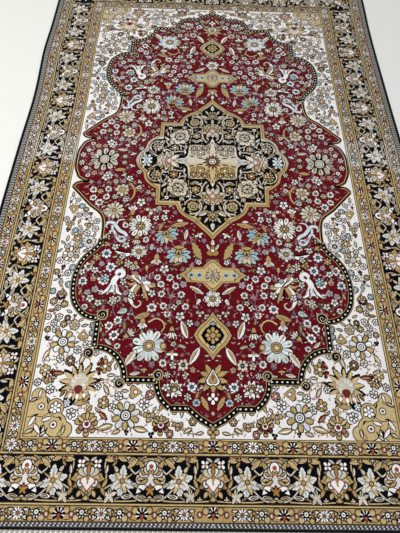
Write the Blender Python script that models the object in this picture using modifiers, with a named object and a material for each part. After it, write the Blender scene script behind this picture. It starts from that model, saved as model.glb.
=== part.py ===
# A hand-knotted medallion rug lying flat, with overcast sides, flat-woven ends and a short warp fringe.
# The origin is on the floor under the middle of the laid rug. +X runs across it, +Y to its far end.

import math
import random

import bmesh
import bpy

# Driving sizes, metres
RUG_WIDTH = 1.96            # over both selvedges
RUG_LENGTH = 3.00           # over both flat-woven ends, without the fringe
PILE_THICKNESS = 0.007      # foundation and clipped pile together
SHOULDER = 0.0015           # rounding of the pile's rim
SELVEDGE_WIDTH = 0.014
SELVEDGE_HEIGHT = 0.0075
END_BAND_WIDTH = 0.008
END_BAND_HEIGHT = 0.004
ROOT_WIDTH = 0.005          # strip in which the fringe's locks are gathered
ROOT_HEIGHT = 0.003
LOCKS_PER_END = 116
LOCK_LENGTH = 0.038
LOCK_ROOT_SHARE = 0.55      # of the pitch between locks
LOCK_TIP_SHARE = 0.22
LOCK_TIP_HEIGHT = 0.0016
LOCK_LENGTH_SPREAD = 0.004
LOCK_SWAY = 0.005           # how far a lock's tip leans along the end
SWAY_STEP = 0.37            # turn of the sway's wave from one lock to the next, radians
FRINGE_SEED = 7
TOUCH_GAP = 0.0003          # between pieces that touch

STATIONS_ALONG = 48         # rows in which the sides' wander is followed
SELVEDGE_SIDES = 10
LOCK_STEPS = 2

# Where the long sides wander from straight as the rug lies:
# side (-1 left, 1 right), place along Y, shift along X, half-length of the wave
SIDE_WAVES = [
    (-1, 0.43, 0.0085, 0.22),
    (-1, 0.83, -0.0070, 0.16),
    (-1, -0.32, -0.0050, 0.30),
    (1, 1.39, 0.0070, 0.20),
    (1, 0.93, -0.0035, 0.30),
    (1, 0.15, 0.0050, 0.20),
]

# Yarn colours (linear RGB) and roughness
CRIMSON = (0.26, 0.008, 0.013, 1.0)
NAVY = (0.006, 0.007, 0.014, 1.0)
UNDYED = (0.72, 0.66, 0.55, 1.0)
YARN_ROUGHNESS = 0.8


def side_shift(x, y):
    """Shift along X of a point of the rug, full at a long side and fading towards the middle."""
    side = -1 if x < 0 else 1
    reach = min(1.0, abs(x) / (RUG_WIDTH / 2 - SELVEDGE_WIDTH)) ** 2
    waves = [
        shift * math.exp(-(((y - place) / half_length) ** 2))
        for wave_side, place, shift, half_length in SIDE_WAVES
        if wave_side == side
    ]
    return reach * sum(waves)


def wander(bm):
    """Moves every point of a mesh by the sides' wander."""
    for vertex in bm.verts:
        vertex.co.x += side_shift(vertex.co.x, vertex.co.y)


def clear_scene():
    for leftover in list(bpy.data.objects):
        bpy.data.objects.remove(leftover, do_unlink=True)


def yarn_material(name, colour):
    material = bpy.data.materials.new(name)
    material.use_nodes = True
    shader = material.node_tree.nodes["Principled BSDF"]
    shader.inputs["Base Color"].default_value = colour
    shader.inputs["Roughness"].default_value = YARN_ROUGHNESS
    shader.inputs["Metallic"].default_value = 0.0
    material.diffuse_color = colour
    return material


def finish_object(bm, name, material, collection):
    bmesh.ops.recalc_face_normals(bm, faces=bm.faces[:])
    mesh = bpy.data.meshes.new(name)
    bm.to_mesh(mesh)
    bm.free()
    mesh.materials.append(material)
    piece = bpy.data.objects.new(name, mesh)
    collection.objects.link(piece)
    return piece


def flat_strip(width, length, columns, rows):
    """A flat grid, width along X and length along Y, centred on the origin at floor level."""
    bm = bmesh.new()
    bmesh.ops.create_grid(bm, x_segments=columns, y_segments=rows, size=0.5)
    bmesh.ops.scale(bm, vec=(width, length, 1.0), verts=bm.verts[:])
    return bm


def thicken(bm, height):
    """Gives a flat mesh a wall and an upper face at the given height."""
    raised = bmesh.ops.extrude_face_region(bm, geom=bm.faces[:])["geom"]
    top = [part for part in raised if isinstance(part, bmesh.types.BMVert)]
    bmesh.ops.translate(bm, vec=(0.0, 0.0, height), verts=top)


def pile_body(collection):
    """The knotted cloth: one flat slab with its rim rounded above."""
    width = RUG_WIDTH - 2 * (SELVEDGE_WIDTH + TOUCH_GAP)
    length = RUG_LENGTH - 2 * (END_BAND_WIDTH + TOUCH_GAP)
    bm = flat_strip(width, length, 4, STATIONS_ALONG)
    thicken(bm, PILE_THICKNESS)
    wander(bm)
    body = finish_object(bm, "pile_body", yarn_material("Knotted pile", CRIMSON), collection)

    rim = body.modifiers.new("Rounded rim", "BEVEL")
    rim.width = SHOULDER
    rim.segments = 1
    rim.limit_method = "ANGLE"
    rim.angle_limit = math.radians(60)
    return body


def selvedge(name, side, collection):
    """An overcast edge: a flattened cord along one long side."""
    bm = bmesh.new()
    bmesh.ops.create_cone(
        bm, cap_ends=True, segments=SELVEDGE_SIDES, radius1=0.5, radius2=0.5, depth=RUG_LENGTH
    )
    for vertex in bm.verts:
        across, up, along = vertex.co
        vertex.co = (across * SELVEDGE_WIDTH, along, up * SELVEDGE_HEIGHT)
    long_edges = [edge for edge in bm.edges if edge.calc_length() > RUG_LENGTH / 2]
    bmesh.ops.subdivide_edges(bm, edges=long_edges, cuts=STATIONS_ALONG - 1)

    lowest = min(vertex.co.z for vertex in bm.verts)
    middle = side * (RUG_WIDTH - SELVEDGE_WIDTH) / 2
    bmesh.ops.translate(bm, vec=(middle, 0.0, -lowest), verts=bm.verts[:])
    for vertex in bm.verts:
        vertex.co.x += side_shift(side * RUG_WIDTH / 2, vertex.co.y)
    cord = finish_object(bm, name, yarn_material("Overcast wool " + name, NAVY), collection)
    cord.data.shade_smooth()
    return cord


def end_band(name, end, collection):
    """A flat-woven strip that closes the pile at one end, between the selvedges."""
    width = RUG_WIDTH - 2 * (SELVEDGE_WIDTH + TOUCH_GAP)
    bm = flat_strip(width, END_BAND_WIDTH, 4, 1)
    thicken(bm, END_BAND_HEIGHT)
    middle = end * (RUG_LENGTH - END_BAND_WIDTH) / 2
    bmesh.ops.translate(bm, vec=(0.0, middle, 0.0), verts=bm.verts[:])
    wander(bm)
    return finish_object(bm, name, yarn_material("Flat weave " + name, NAVY), collection)


def lock_columns(width):
    """Places along X at which the root strip is divided: a gap, then each lock and its gap."""
    pitch = width / LOCKS_PER_END
    columns = [-width / 2]
    for lock in range(LOCKS_PER_END):
        middle = -width / 2 + pitch * (lock + 0.5)
        columns.append(middle - pitch * LOCK_ROOT_SHARE / 2)
        columns.append(middle + pitch * LOCK_ROOT_SHARE / 2)
    columns.append(width / 2)
    return columns


def grow_lock(bm, face, end, pitch, length, sway):
    """Draws one face of the root strip out into a flat lock that narrows and leans towards its tip."""
    lean = 0.0
    for step in range(1, LOCK_STEPS + 1):
        face = bmesh.ops.extrude_discrete_faces(bm, faces=[face])["faces"][0]
        share = step / LOCK_STEPS
        lean_before = lean
        lean = sway * share ** 2
        width_share = LOCK_ROOT_SHARE + (LOCK_TIP_SHARE - LOCK_ROOT_SHARE) * share ** 2
        height = ROOT_HEIGHT + (LOCK_TIP_HEIGHT - ROOT_HEIGHT) * share
        points = face.verts[:]
        middle = sum(point.co.x for point in points) / len(points)
        for point in points:
            half_width = math.copysign(pitch * width_share / 2, point.co.x - middle)
            point.co.x = middle + half_width + lean - lean_before
            point.co.y += end * length / LOCK_STEPS
            point.co.z = height if point.co.z > LOCK_TIP_HEIGHT / 2 else 0.0


def fringe(name, end, collection):
    """The warp ends beyond one flat-woven end: a root strip with locks combed out flat."""
    width = RUG_WIDTH - 2 * (SELVEDGE_WIDTH + TOUCH_GAP)
    columns = lock_columns(width)
    pitch = width / LOCKS_PER_END
    bm = flat_strip(width, ROOT_WIDTH, len(columns) - 1, 1)
    rows = {}
    for vertex in bm.verts:
        rows.setdefault(round(vertex.co.y, 6), []).append(vertex)
    for row in rows.values():
        row.sort(key=lambda vertex: vertex.co.x)
        for vertex, place in zip(row, columns):
            vertex.co.x = place
    thicken(bm, ROOT_HEIGHT)
    bm.normal_update()

    outer_faces = [
        face for face in bm.faces
        if face.normal.y * end > 0.9 and face.calc_center_median().y * end > 0
    ]
    outer_faces.sort(key=lambda face: face.calc_center_median().x)
    draw = random.Random(FRINGE_SEED)
    for number, face in enumerate(outer_faces[1::2]):
        length = LOCK_LENGTH - LOCK_LENGTH_SPREAD * draw.random()
        sway = LOCK_SWAY * math.sin(number * SWAY_STEP + end) * draw.uniform(0.6, 1.0)
        grow_lock(bm, face, end, pitch, length, sway)

    bm.normal_update()
    for way in (-1, 1):
        strip_faces = [
            face for face in bm.faces
            if face.normal.z * way > 0.99 and abs(face.calc_center_median().y) < ROOT_WIDTH / 2
        ]
        bmesh.ops.dissolve_faces(bm, faces=strip_faces)

    middle = end * (RUG_LENGTH / 2 + TOUCH_GAP + ROOT_WIDTH / 2)
    bmesh.ops.translate(bm, vec=(0.0, middle, 0.0), verts=bm.verts[:])
    wander(bm)
    return finish_object(bm, name, yarn_material("Warp fringe " + name, UNDYED), collection)


def build():
    clear_scene()
    collection = bpy.data.collections.new("Medallion rug")
    bpy.context.scene.collection.children.link(collection)
    pile_body(collection)
    selvedge("selvedge_left", -1, collection)
    selvedge("selvedge_right", 1, collection)
    end_band("end_band_near", -1, collection)
    end_band("end_band_far", 1, collection)
    fringe("fringe_near", -1, collection)
    fringe("fringe_far", 1, collection)


build()
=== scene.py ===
import math
import random

import bpy
import numpy as np
from mathutils import Matrix, Vector
from mathutils.bvhtree import BVHTree
from mathutils.geometry import delaunay_2d_cdt


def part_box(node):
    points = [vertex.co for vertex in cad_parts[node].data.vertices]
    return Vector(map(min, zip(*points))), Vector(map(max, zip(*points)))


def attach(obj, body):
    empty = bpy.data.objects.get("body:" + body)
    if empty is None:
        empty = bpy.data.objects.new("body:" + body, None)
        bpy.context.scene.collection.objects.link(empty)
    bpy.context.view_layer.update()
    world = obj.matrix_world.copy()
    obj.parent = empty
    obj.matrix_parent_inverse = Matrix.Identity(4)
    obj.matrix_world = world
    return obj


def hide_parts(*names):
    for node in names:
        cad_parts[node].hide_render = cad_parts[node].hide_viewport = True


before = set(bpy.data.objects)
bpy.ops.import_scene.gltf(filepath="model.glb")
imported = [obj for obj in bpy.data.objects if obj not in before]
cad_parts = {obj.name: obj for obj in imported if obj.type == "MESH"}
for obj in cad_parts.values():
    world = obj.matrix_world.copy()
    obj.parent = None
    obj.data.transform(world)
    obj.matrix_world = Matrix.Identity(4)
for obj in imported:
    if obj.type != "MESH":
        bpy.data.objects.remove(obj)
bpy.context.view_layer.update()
mm = 0.001

# The design is drawn flat in millimetres from its middle: "across" over the rug's width and
# "along" its length. One quarter is drawn, and mirrored into the other three.
rug = {
    "low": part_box("pile_body")[0],
    "high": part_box("pile_body")[1],
    "middleAlong": 0.030,        # the design's middle lies this far past the rug's own
    "nearStretch": 1.02,         # the near half was knotted longer
    "farStretch": 0.98,          # than the far half
    "sideReach": 0.966,          # where a side's wander is full
    "rim": 0.0012,               # rounding of the outer rim
    "halfAcross": 964.5,
    "halfAlong": 1490.5,
}

# Where the long sides wander, as in the solids: side, place along, shift across, half length
sideWaves = [
    (-1, 0.43, 0.0085, 0.22),
    (-1, 0.83, -0.0070, 0.16),
    (-1, -0.32, -0.0050, 0.30),
    (1, 1.39, 0.0070, 0.20),
    (1, 0.93, -0.0035, 0.30),
    (1, 0.15, 0.0050, 0.20),
]

# Dyed wool: its sRGB hex, and how far the greyer dye lot across the middle, and the painted shade of
# the far half, take it
yarns = {
    "crimson": ("#69101a", 0.10),
    "wine": ("#3a090f", 0.0),
    "brick": ("#7c2a26", 0.0),
    "rust": ("#a4523c", 0.3),
    "pink": ("#b98476", 0.3),
    "mauve": ("#8f6a76", 0.2),
    "lilac": ("#b09aa4", 0.2),
    "black": ("#0b090a", 0.0),
    "navy": ("#0b0c14", 0.0),
    "brown": ("#3d3020", 0.4),
    "tan": ("#83694a", 1.0),
    "amber": ("#b08348", 0.8),
    "gold": ("#bb9d69", 1.0),
    "straw": ("#d1b886", 1.0),
    "cream": ("#d6cbb8", 0.4),
    "pearl": ("#e4e0db", 0.2),
    "ivory": ("#f8f5f3", 0.1),
    "frost": ("#d9e6ea", 0.1),
    "sky": ("#adc8cf", 0.1),
    "slate": ("#6f7a84", 0.1),
    "ash": ("#686360", 0.1),
}


def linearFromHex(text):
    parts = [int(text[i:i + 2], 16) / 255 for i in (1, 3, 5)]
    return [p / 12.92 if p <= 0.04045 else ((p + 0.055) / 1.055) ** 2.4 for p in parts]


def sideShift(x, y):
    reach = np.minimum(1.0, np.abs(x) / rug["sideReach"]) ** 2
    shift = np.zeros_like(x)
    for side, place, size, halfLength in sideWaves:
        wave = size * np.exp(-(((y - place) / halfLength) ** 2))
        shift += np.where(np.sign(x) == side, wave, 0.0)
    return reach * shift


def onFloor(points):                    # design millimetres to metres on the floor
    x, v = points[:, 0] * mm, points[:, 1] * mm
    y = np.where(v < 0, v * rug["nearStretch"], v * rug["farStretch"]) + rug["middleAlong"]
    y = np.clip(y, rug["low"][1] + rug["rim"], rug["high"][1] - rug["rim"])
    return np.stack([x + sideShift(x, y), y], 1)


# Drawing: blades, curves and ribbons are closed outlines, in millimetres
bladeForms = {                          # how sharp a blade's root and tip are
    "petal": (0.95, 0.42),
    "drop": (0.50, 1.05),
    "leaf": (0.80, 1.00),
    "half": (0.80, 1.00),               # one half of a leaf
    "disc": (0.50, 0.50),
    "spike": (0.60, 0.95),
}
profiles = {                            # or its half width at shares of its length
    "saw": [(0, 0), (.10, .5), (.16, .34), (.30, .86), (.36, .62), (.50, 1), (.56, .74),
            (.70, .8), (.76, .52), (.90, .42), (1, 0)],
    "heart": [(0, 0), (.20, .30), (.45, .66), (.68, 1), (.86, .86), (.96, .42), (.90, 0)],
    "winged": [(0, 0), (.07, .17), (.15, .31), (.22, .42), (.25, .34), (.33, .66), (.42, .76),
               (.44, .64), (.52, 1), (.59, .84), (.67, .78), (.69, .62), (.78, .74), (.83, .46),
               (.90, .34), (1, 0)],
    "cup": [(0, 0), (.10, .45), (.40, .70), (.75, 1), (1, .86), (.84, .40), (.92, 0)],
}
pen = {
    "steps": 6,                         # points along each side of a blade
    "smallSteps": 4,                    # and of a blade shorter than "small"
    "small": 12,
    "halfLeft": 0.15,                   # what is left of a half leaf's other side
    "edge": 3.5,                        # width of the dark line round a blade
    "shadeSpread": 0.10,                # how unevenly each motif is dyed
    "bladeSpread": 0.36,                # and each blade in it
    "uneven": 0.14,                     # how far the blades of a motif are off in turn and length
}
draw = random.Random(19)


def blade(form, start, reach, width):    # a petal, leaf or disc that points along
    if form in profiles:
        share, half = np.array(profiles[form], float).T
        half = half * width / 2
    else:
        rootSharp, tipSharp = bladeForms[form]
        steps = pen["smallSteps"] if abs(reach - start) < pen["small"] else pen["steps"]
        share = 0.5 - 0.5 * np.cos(np.linspace(0, math.pi, steps))
        half = share ** rootSharp * (1 - share) ** tipSharp
        half *= width / 2 / half.max()
    forward = start + (reach - start) * share
    right = np.stack([half, forward], 1)
    left = np.stack([-(pen["halfLeft"] if form == "half" else 1.0) * half, forward], 1)
    return np.concatenate([right, left[-2:0:-1]])


def curve(points, steps=5):             # a smooth line through the points
    points = np.array(points, float)
    ends = np.concatenate([[2 * points[0] - points[1]], points, [2 * points[-1] - points[-2]]])
    path = []
    for i in range(1, len(ends) - 2):
        a, b, c, d = ends[i - 1:i + 3]
        for t in np.arange(steps) / steps:
            bow = (2 * a - 5 * b + 4 * c - d) * t * t + (3 * b - a - 3 * c + d) * t ** 3
            path.append(b + 0.5 * ((c - a) * t + bow))
    path.append(ends[-2])
    return np.array(path)


def arc(middle, radius, start, stop, steps=12):
    turn = np.radians(np.linspace(start, stop, steps + 1))
    return np.stack([middle[0] + radius * np.cos(turn), middle[1] + radius * np.sin(turn)], 1)


def ribbon(path, first, last, belly=0.0):
    path = np.asarray(path, float)
    way = np.gradient(path, axis=0)
    way /= np.linalg.norm(way, axis=1)[:, None] + 1e-9
    aside = np.stack([way[:, 1], -way[:, 0]], 1)
    share = np.linspace(0, 1, len(path))
    half = np.maximum((first + (last - first) * share + belly * np.sin(math.pi * share)) / 2, 0.3)
    return np.concatenate([path + aside * half[:, None], (path - aside * half[:, None])[::-1]])


def alongPath(path, pitch):             # spots and headings at even steps of a path
    lengths = np.concatenate([[0], np.cumsum(np.linalg.norm(np.diff(path, axis=0), axis=1))])
    at = np.arange(pitch / 2, lengths[-1], pitch)
    behind, spots, ahead = (
        np.stack([np.interp(at + shift, lengths, path[:, i]) for i in (0, 1)], 1)
        for shift in (-1, 0, 1))
    way = ahead - behind
    return spots, np.degrees(np.arctan2(way[:, 0], way[:, 1]))


def turned(points, across, along, turn):
    a = math.radians(turn)
    x, y = points[:, 0], points[:, 1]
    return np.stack([across + x * math.cos(a) + y * math.sin(a),
                     along - x * math.sin(a) + y * math.cos(a)], 1)


# The pile is knotted in five fields, side by side. The last yarn laid at a spot is the one seen.
cloths = {name: [] for name in ("fieldPile", "cornerPile", "innerGuardPile", "mainBorderPile",
                                "outerGuardPile")}
field = ("fieldPile",)
corner = ("cornerPile",)
seam = ("fieldPile", "cornerPile")
innerGuard = ("innerGuardPile",)
mainBorder = ("mainBorderPile",)
outerGuard = ("outerGuardPile",)


def twiceArea(ring):                    # negative where the ring runs clockwise
    x, y = ring[:, 0], ring[:, 1]
    return np.dot(x, np.roll(y, -1)) - np.dot(y, np.roll(x, -1))


def weave(where, points, yarn, copies="four", shade=None):
    shade = 1 + pen["shadeSpread"] * (draw.random() - 0.5) if shade is None else shade
    for acrossWay in ((1,) if copies in ("ends", "once") else (1, -1)):
        for alongWay in ((1,) if copies in ("sides", "once") else (1, -1)):
            copy = points * (acrossWay, alongWay)
            if twiceArea(copy) < 0:
                copy = copy[::-1]
            for cloth in where:
                cloths[cloth].append((copy, yarn, shade))


def axisCopies(across, along):
    if abs(across) < 0.5:
        return "once" if abs(along) < 0.5 else "ends"
    return "sides" if abs(along) < 0.5 else "four"


# Flowers and leaves are rings and fans of blades, with lengths as shares of the motif's size.
# Two yarns joined by "+" take turns. "petal", "vein" and "heart" may be given another yarn.
roundForms = """
form count spread start reach width yarn edge
beads:
disc 1 0 -.70 .70 1.4 black -
disc 7 360 .38 .98 .52 petal -
disc 1 0 -.22 .22 .44 slate -
blossom:
petal 5 360 .16 1.0 .66 petal black
disc 1 0 -.34 .34 .68 black -
disc 1 0 -.18 .18 .36 gold -
rosette:
petal 11 360 .30 1.04 .40 petal black
leaf 11 360 .66 1.0 .12 tan -
disc 1 0 -.42 .42 .84 black -
disc 1 0 -.35 .35 .70 gold -
petal 6 360 .10 .33 .14 brown -
disc 1 0 -.17 .17 .34 brown -
disc 1 0 -.10 .10 .20 cream -
aster:
petal 10 360 .20 1.12 .46 ivory+frost black
leaf 10 360 .40 .92 .16 sky+pearl -
leaf 10 360 .74 1.10 .14 gold -
disc 1 0 -.36 .36 .72 straw brown
disc 1 0 -.24 .24 .48 gold brown
disc 1 0 -.08 .08 .16 ivory -
eightPetal:
petal 10 360 .36 1.06 .38 gold+ivory black
leaf 10 360 .50 .92 .13 straw+frost -
disc 1 0 -.46 .46 .92 black -
disc 1 0 -.34 .34 .68 ivory -
disc 1 0 -.24 .24 .48 black -
disc 1 0 -.17 .17 .34 ivory -
disc 1 0 -.08 .08 .16 brown -
star:
spike 8 360 .40 1.05 .19 black -
petal 8 360 .22 .74 .34 petal black
disc 1 0 -.34 .34 .68 black -
disc 1 0 -.25 .25 .50 petal -
disc 1 0 -.12 .12 .24 gold -
guardRosette:
disc 1 0 -1.02 1.02 2.04 black -
petal 10 360 .30 1.0 .34 ivory -
disc 1 0 -.32 .32 .64 brown -
disc 1 0 -.26 .26 .52 rust -
ringFlower:
petal 8 360 .30 1.0 .50 petal brown
disc 1 0 -.52 .52 1.04 brown -
disc 1 0 -.44 .44 .88 gold -
disc 1 0 -.24 .24 .48 black -
disc 1 0 -.13 .13 .26 ivory -
outlined:
petal 6 360 .22 1.0 .52 petal black
disc 1 0 -.36 .36 .72 black -
disc 1 0 -.24 .24 .48 ivory -
disc 1 0 -.12 .12 .24 heart -
rose:
petal 5 360 .10 1.0 .80 petal wine
disc 1 0 -.34 .34 .68 wine -
disc 1 0 -.18 .18 .36 cream -
four:
petal 4 360 .05 1.0 .66 petal black
disc 1 0 -.25 .25 .50 brown -
lobed:
disc 1 0 -1.06 1.06 2.12 black -
disc 9 360 .54 1.04 .58 petal black
disc 9 360 .66 .92 .26 gold+straw -
disc 1 0 -.56 .56 1.12 brown -
disc 1 0 -.50 .50 1.00 straw -
petal 7 360 .10 .46 .22 cream brown
disc 1 0 -.13 .13 .26 brown -
sunburst:
leaf 14 360 .20 1.04 .30 brown -
leaf 14 360 .40 .92 .10 rust -
disc 1 0 -.46 .46 .92 brown -
disc 1 0 -.38 .38 .76 cream -
disc 1 0 -.24 .24 .48 brown -
disc 1 0 -.15 .15 .30 ivory -
ink:
petal 6 360 .20 1.0 .50 ivory petal
disc 1 0 -.36 .36 .72 petal -
disc 1 0 -.18 .18 .36 gold -
crown:
leaf 8 360 .50 1.12 .34 straw black
petal 11 360 .34 1.0 .36 petal black
disc 1 0 -.44 .44 .88 petal -
petal 9 360 .14 .42 .12 tan -
disc 1 0 -.16 .16 .32 gold brown
disc1:
disc 1 0 -1.0 1.0 2.0 petal -
bigRosette:
disc 1 0 -.86 .86 1.72 black -
spike 10 360 .40 1.10 .26 black -
petal 10 360 .46 1.04 .36 petal black
leaf 10 360 .54 .96 .14 gold+slate -
disc 1 0 -.44 .44 .88 black -
disc 1 0 -.34 .34 .68 cream -
disc 1 0 -.25 .25 .50 brown -
disc 1 0 -.20 .20 .40 cream -
disc 1 0 -.10 .10 .20 gold -
goldFlower:
petal 6 360 .20 1.0 .56 petal black
disc 1 0 -.36 .36 .72 brown -
disc 1 0 -.26 .26 .52 ivory -
smallRing:
disc 1 0 -1.0 1.0 2.0 ivory black
disc 1 0 -.50 .50 1.00 petal -
roseCluster:
petal 7 300 .30 1.04 .46 gold navy
petal 5 240 .26 .80 .36 petal navy
disc 1 0 -.36 .36 .72 ivory navy
disc 1 0 -.22 .22 .44 brick -
leaf 3 110 -1.05 -.30 .26 straw navy
clover:
disc 3 360 .05 .95 .90 black -
"""

leafForms = """
form count spread start reach width yarn edge
bit:
petal 3 170 -.2 1.0 .50 petal black
disc 1 0 -.5 .1 .45 gold -
bud:
leaf 2 110 -.7 .5 .36 gold -
drop 1 0 -.80 1.0 .95 petal black
half 1 0 -.50 .60 .60 gold -
leaf:
leaf 1 0 -1.0 1.0 .66 petal brown
half 1 0 -.85 .85 .56 vein -
spike 1 0 -.8 .8 .07 brown -
sawLeaf:
saw 1 0 -1.0 1.0 .78 petal black
half 1 0 -.80 .80 .44 vein -
plainLeaf:
leaf 1 0 -1.0 1.0 .50 petal -
twin:
leaf 2 96 .05 1.0 .42 petal -
disc 1 0 -.20 .20 .40 heart -
longLeaf:
saw 1 0 -1.0 1.0 .62 petal black
half 1 0 -.90 .86 .48 vein -
spike 1 0 -.7 .8 .07 brown -
inkLeaf:
leaf 1 0 -1.0 1.0 .62 petal black
half 1 0 -.80 .80 .34 ivory -
spray:
leaf 5 220 .05 1.0 .26 petal -
leaf 1 180 .0 .9 .12 petal -
trefoil:
petal 3 200 .00 1.0 .72 petal brown
disc 1 0 -.30 .26 .56 cream brown
spike 1 180 -.1 .9 .20 brown -
petalCap:
disc 1 0 -.45 .45 1.8 petal brown
guardBud:
leaf 2 140 -.7 .9 .34 ivory black
disc 1 0 -.80 .80 1.4 petal brown
leaf 1 0 -.50 .60 .40 ivory -
mound:
disc 1 0 -.80 .80 1.60 petal brown
disc 1 0 -.60 .35 1.00 straw -
eye:
leaf 1 0 -1.15 1.15 .90 black -
leaf 1 0 -1.0 1.0 .66 petal -
leaf 1 0 -.50 .55 .18 straw brown
"""

fanForms = """
form count spread start reach width yarn edge
bell:
petal 4 104 -.40 1.0 .44 petal black
leaf 3 70 -.10 .80 .12 rust -
cup 1 0 -.95 -.05 .84 gold brown
tulip:
leaf 2 100 -.55 1.0 .40 petal black
leaf 2 40 -.60 1.1 .36 petal black
leaf 1 0 -.5 1.0 .26 gold -
spike 2 200 -.2 .7 .22 black -
cup 1 0 -.85 -.10 .70 gold brown
palmetteA:
winged 1 0 -1.14 1.00 2.3 gold black
winged 1 0 -.92 .84 1.7 straw brown
leaf 2 236 .45 1.08 .26 amber brown
petal 2 100 .20 .84 .38 cream brown
petal 2 46 .20 .72 .28 pearl brown
leaf 1 0 .20 .96 .20 amber brown
disc 2 236 .34 .74 .40 frost black
disc 2 236 .46 .62 .10 black -
heart 1 0 -.80 .16 1.12 rust -
heart 1 0 -.68 .10 .90 ivory -
saw 3 110 -.14 .22 .14 amber -
leaf 1 180 .05 .36 .14 amber -
drop 1 180 .76 1.00 .16 sky brown
leaf 2 300 .80 1.20 .22 straw brown
palmetteB:
leaf 2 268 .20 1.36 .46 ivory black
petal 2 192 .20 1.06 .60 cream black
leaf 2 192 .50 .96 .20 straw brown
petal 2 122 .20 .90 .56 pearl black
leaf 2 122 .44 .82 .20 gold brown
petal 2 60 .15 .82 .44 cream black
leaf 2 60 .36 .72 .16 tan -
disc 1 0 .30 1.06 .66 ivory black
disc 1 0 .54 .86 .32 rust -
leaf 2 30 .10 .52 .18 gold brown
heart 1 180 -.38 .60 1.02 rust -
heart 1 180 -.28 .54 .88 pearl -
leaf 2 236 .24 .84 .20 gold black
leaf 2 210 .50 .92 .12 black -
goldSpade:
heart 1 180 -.9 .7 1.9 gold black
heart 1 180 -.6 .5 1.1 straw brown
starBase:
saw 5 360 .0 1.0 .56 petal black
disc 1 0 -.40 .40 .80 petal -
spike 3 80 .2 1.2 .16 black -
full:
saw 9 290 .20 1.08 .46 petal black
leaf 9 290 .40 .92 .18 gold -
petal 7 260 .10 .66 .32 straw brown
petal 5 220 .05 .40 .26 pink brown
disc 1 0 -.28 .16 .42 cream brown
petal 3 80 -.95 -.30 .36 petal black
disc 1 0 -.60 -.34 .24 rust -
goldFan:
heart 1 180 -.9 .9 1.8 petal black
disc 1 0 -.36 .36 .72 brown -
disc 1 0 -.24 .24 .48 ivory -
palmette:
spike 11 300 .30 1.10 .22 black -
saw 9 300 .22 .98 .36 petal brown
leaf 9 300 .46 .86 .12 gold -
heart 1 0 -.66 .60 1.06 black -
heart 1 0 -.56 .52 .88 ivory -
heart 1 0 -.40 .36 .50 gold brown
drop 1 0 -.22 .24 .22 heart -
sunPalmette:
saw 13 336 .36 1.34 .46 black -
saw 13 336 .40 1.22 .25 straw -
leaf 15 340 .50 .94 .10 gold -
disc 1 0 -.62 .58 1.20 tan -
petal 11 330 .10 .62 .34 cream -
disc 1 0 -.48 .48 .96 cream -
petal 9 300 .20 .48 .13 pearl -
drop 1 180 .20 .72 .46 brick brown
petal 3 60 -1.06 -.72 .22 ivory pink
fan:
petal 7 250 .00 1.05 .46 black -
petal 6 204 .36 1.0 .19 ivory -
heart 1 0 -.86 .20 .56 rust black
disc 1 0 .02 .24 .30 black -
cupFlower:
petal 6 210 -1.62 -.80 .36 ivory black
disc 1 0 -1.0 1.0 2.0 black -
disc 1 0 -.58 .58 1.16 ivory -
disc 1 0 -.26 .26 .52 tan -
maple:
saw 2 250 -.1 1.14 .70 petal black
saw 2 100 -.1 1.18 .70 petal black
saw 1 0 -.5 1.20 .70 petal black
saw 2 160 .30 .92 .34 straw black
disc 1 0 -.44 .48 .86 petal -
leaf 2 250 .40 .98 .18 sky -
leaf 2 100 .50 1.0 .16 sky -
saw 2 250 .0 .60 .22 gold -
saw 2 100 .0 .66 .22 gold -
leaf 1 0 -1.0 .80 .18 gold -
disc 1 0 -.13 .13 .26 straw black
disc 1 0 -.05 .05 .10 black -
feathers:
leaf 2 262 .05 .92 .36 straw black
saw 2 206 .05 1.08 .56 petal black
saw 2 146 .05 1.14 .60 petal black
saw 2 88 .05 1.10 .56 petal black
leaf 2 34 .05 1.02 .34 cream black
spike 2 206 .10 .98 .10 navy -
spike 2 146 .10 1.02 .10 slate -
leaf 2 88 .10 .92 .16 gold -
heart 1 180 -.40 .44 .52 gold black
drop 1 180 -.10 .30 .24 brown -
"""


def readForms(*tables):                 # a name with a colon starts a motif
    motifs = {}
    for line in "".join(text.strip().partition("\n")[2] + "\n" for text in tables).splitlines():
        row = line.split()
        if len(row) == 1:
            rows = motifs.setdefault(row[0].strip(":"), [])
        else:
            rows.append((row[0], int(row[1]), *map(float, row[2:6]), *row[6:]))
    return motifs


motifRows = readForms(roundForms, leafForms, fanForms)
plainYarns = {"petal": "pearl", "vein": "gold", "heart": "rust"}


def motifLayers(name, size, swaps):
    for form, count, spread, start, reach, width, yarn, edge in motifRows[name]:
        step = 0 if count == 1 else (360 / count if spread == 360 else spread / (count - 1))
        first = 0 if spread == 360 else -step * (count - 1) / 2
        first = spread if count == 1 else first
        angles = [first + step * i for i in range(count)]
        pair = [swaps.get(part, plainYarns.get(part, part)) for part in yarn.split("+")]
        turn, grow = (40 * pen["uneven"], 1.4 * pen["uneven"]) if count > 2 else (0, 0)
        turns = [angle + turn * (draw.random() - 0.5) for angle in angles]
        sizes = [size * (1 + grow * (draw.random() - 0.5)) for _ in angles]
        if edge != "-":
            edge = swaps.get(edge, edge)
            line = pen["edge"]
            for angle, long in zip(turns, sizes):
                dark = blade(form, start * long - line, reach * long + line, width * size + 2 * line)
                yield turned(dark, 0, 0, angle), edge, 1.0
        for i, (angle, long) in enumerate(zip(turns, sizes)):
            fill = blade(form, start * long, reach * long, width * size)
            yield turned(fill, 0, 0, angle), pair[i % len(pair)], bladeShade(count)


def bladeShade(count):
    return 1 + (pen["bladeSpread"] if count > 2 else 0) * (draw.random() - 0.5)


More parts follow.
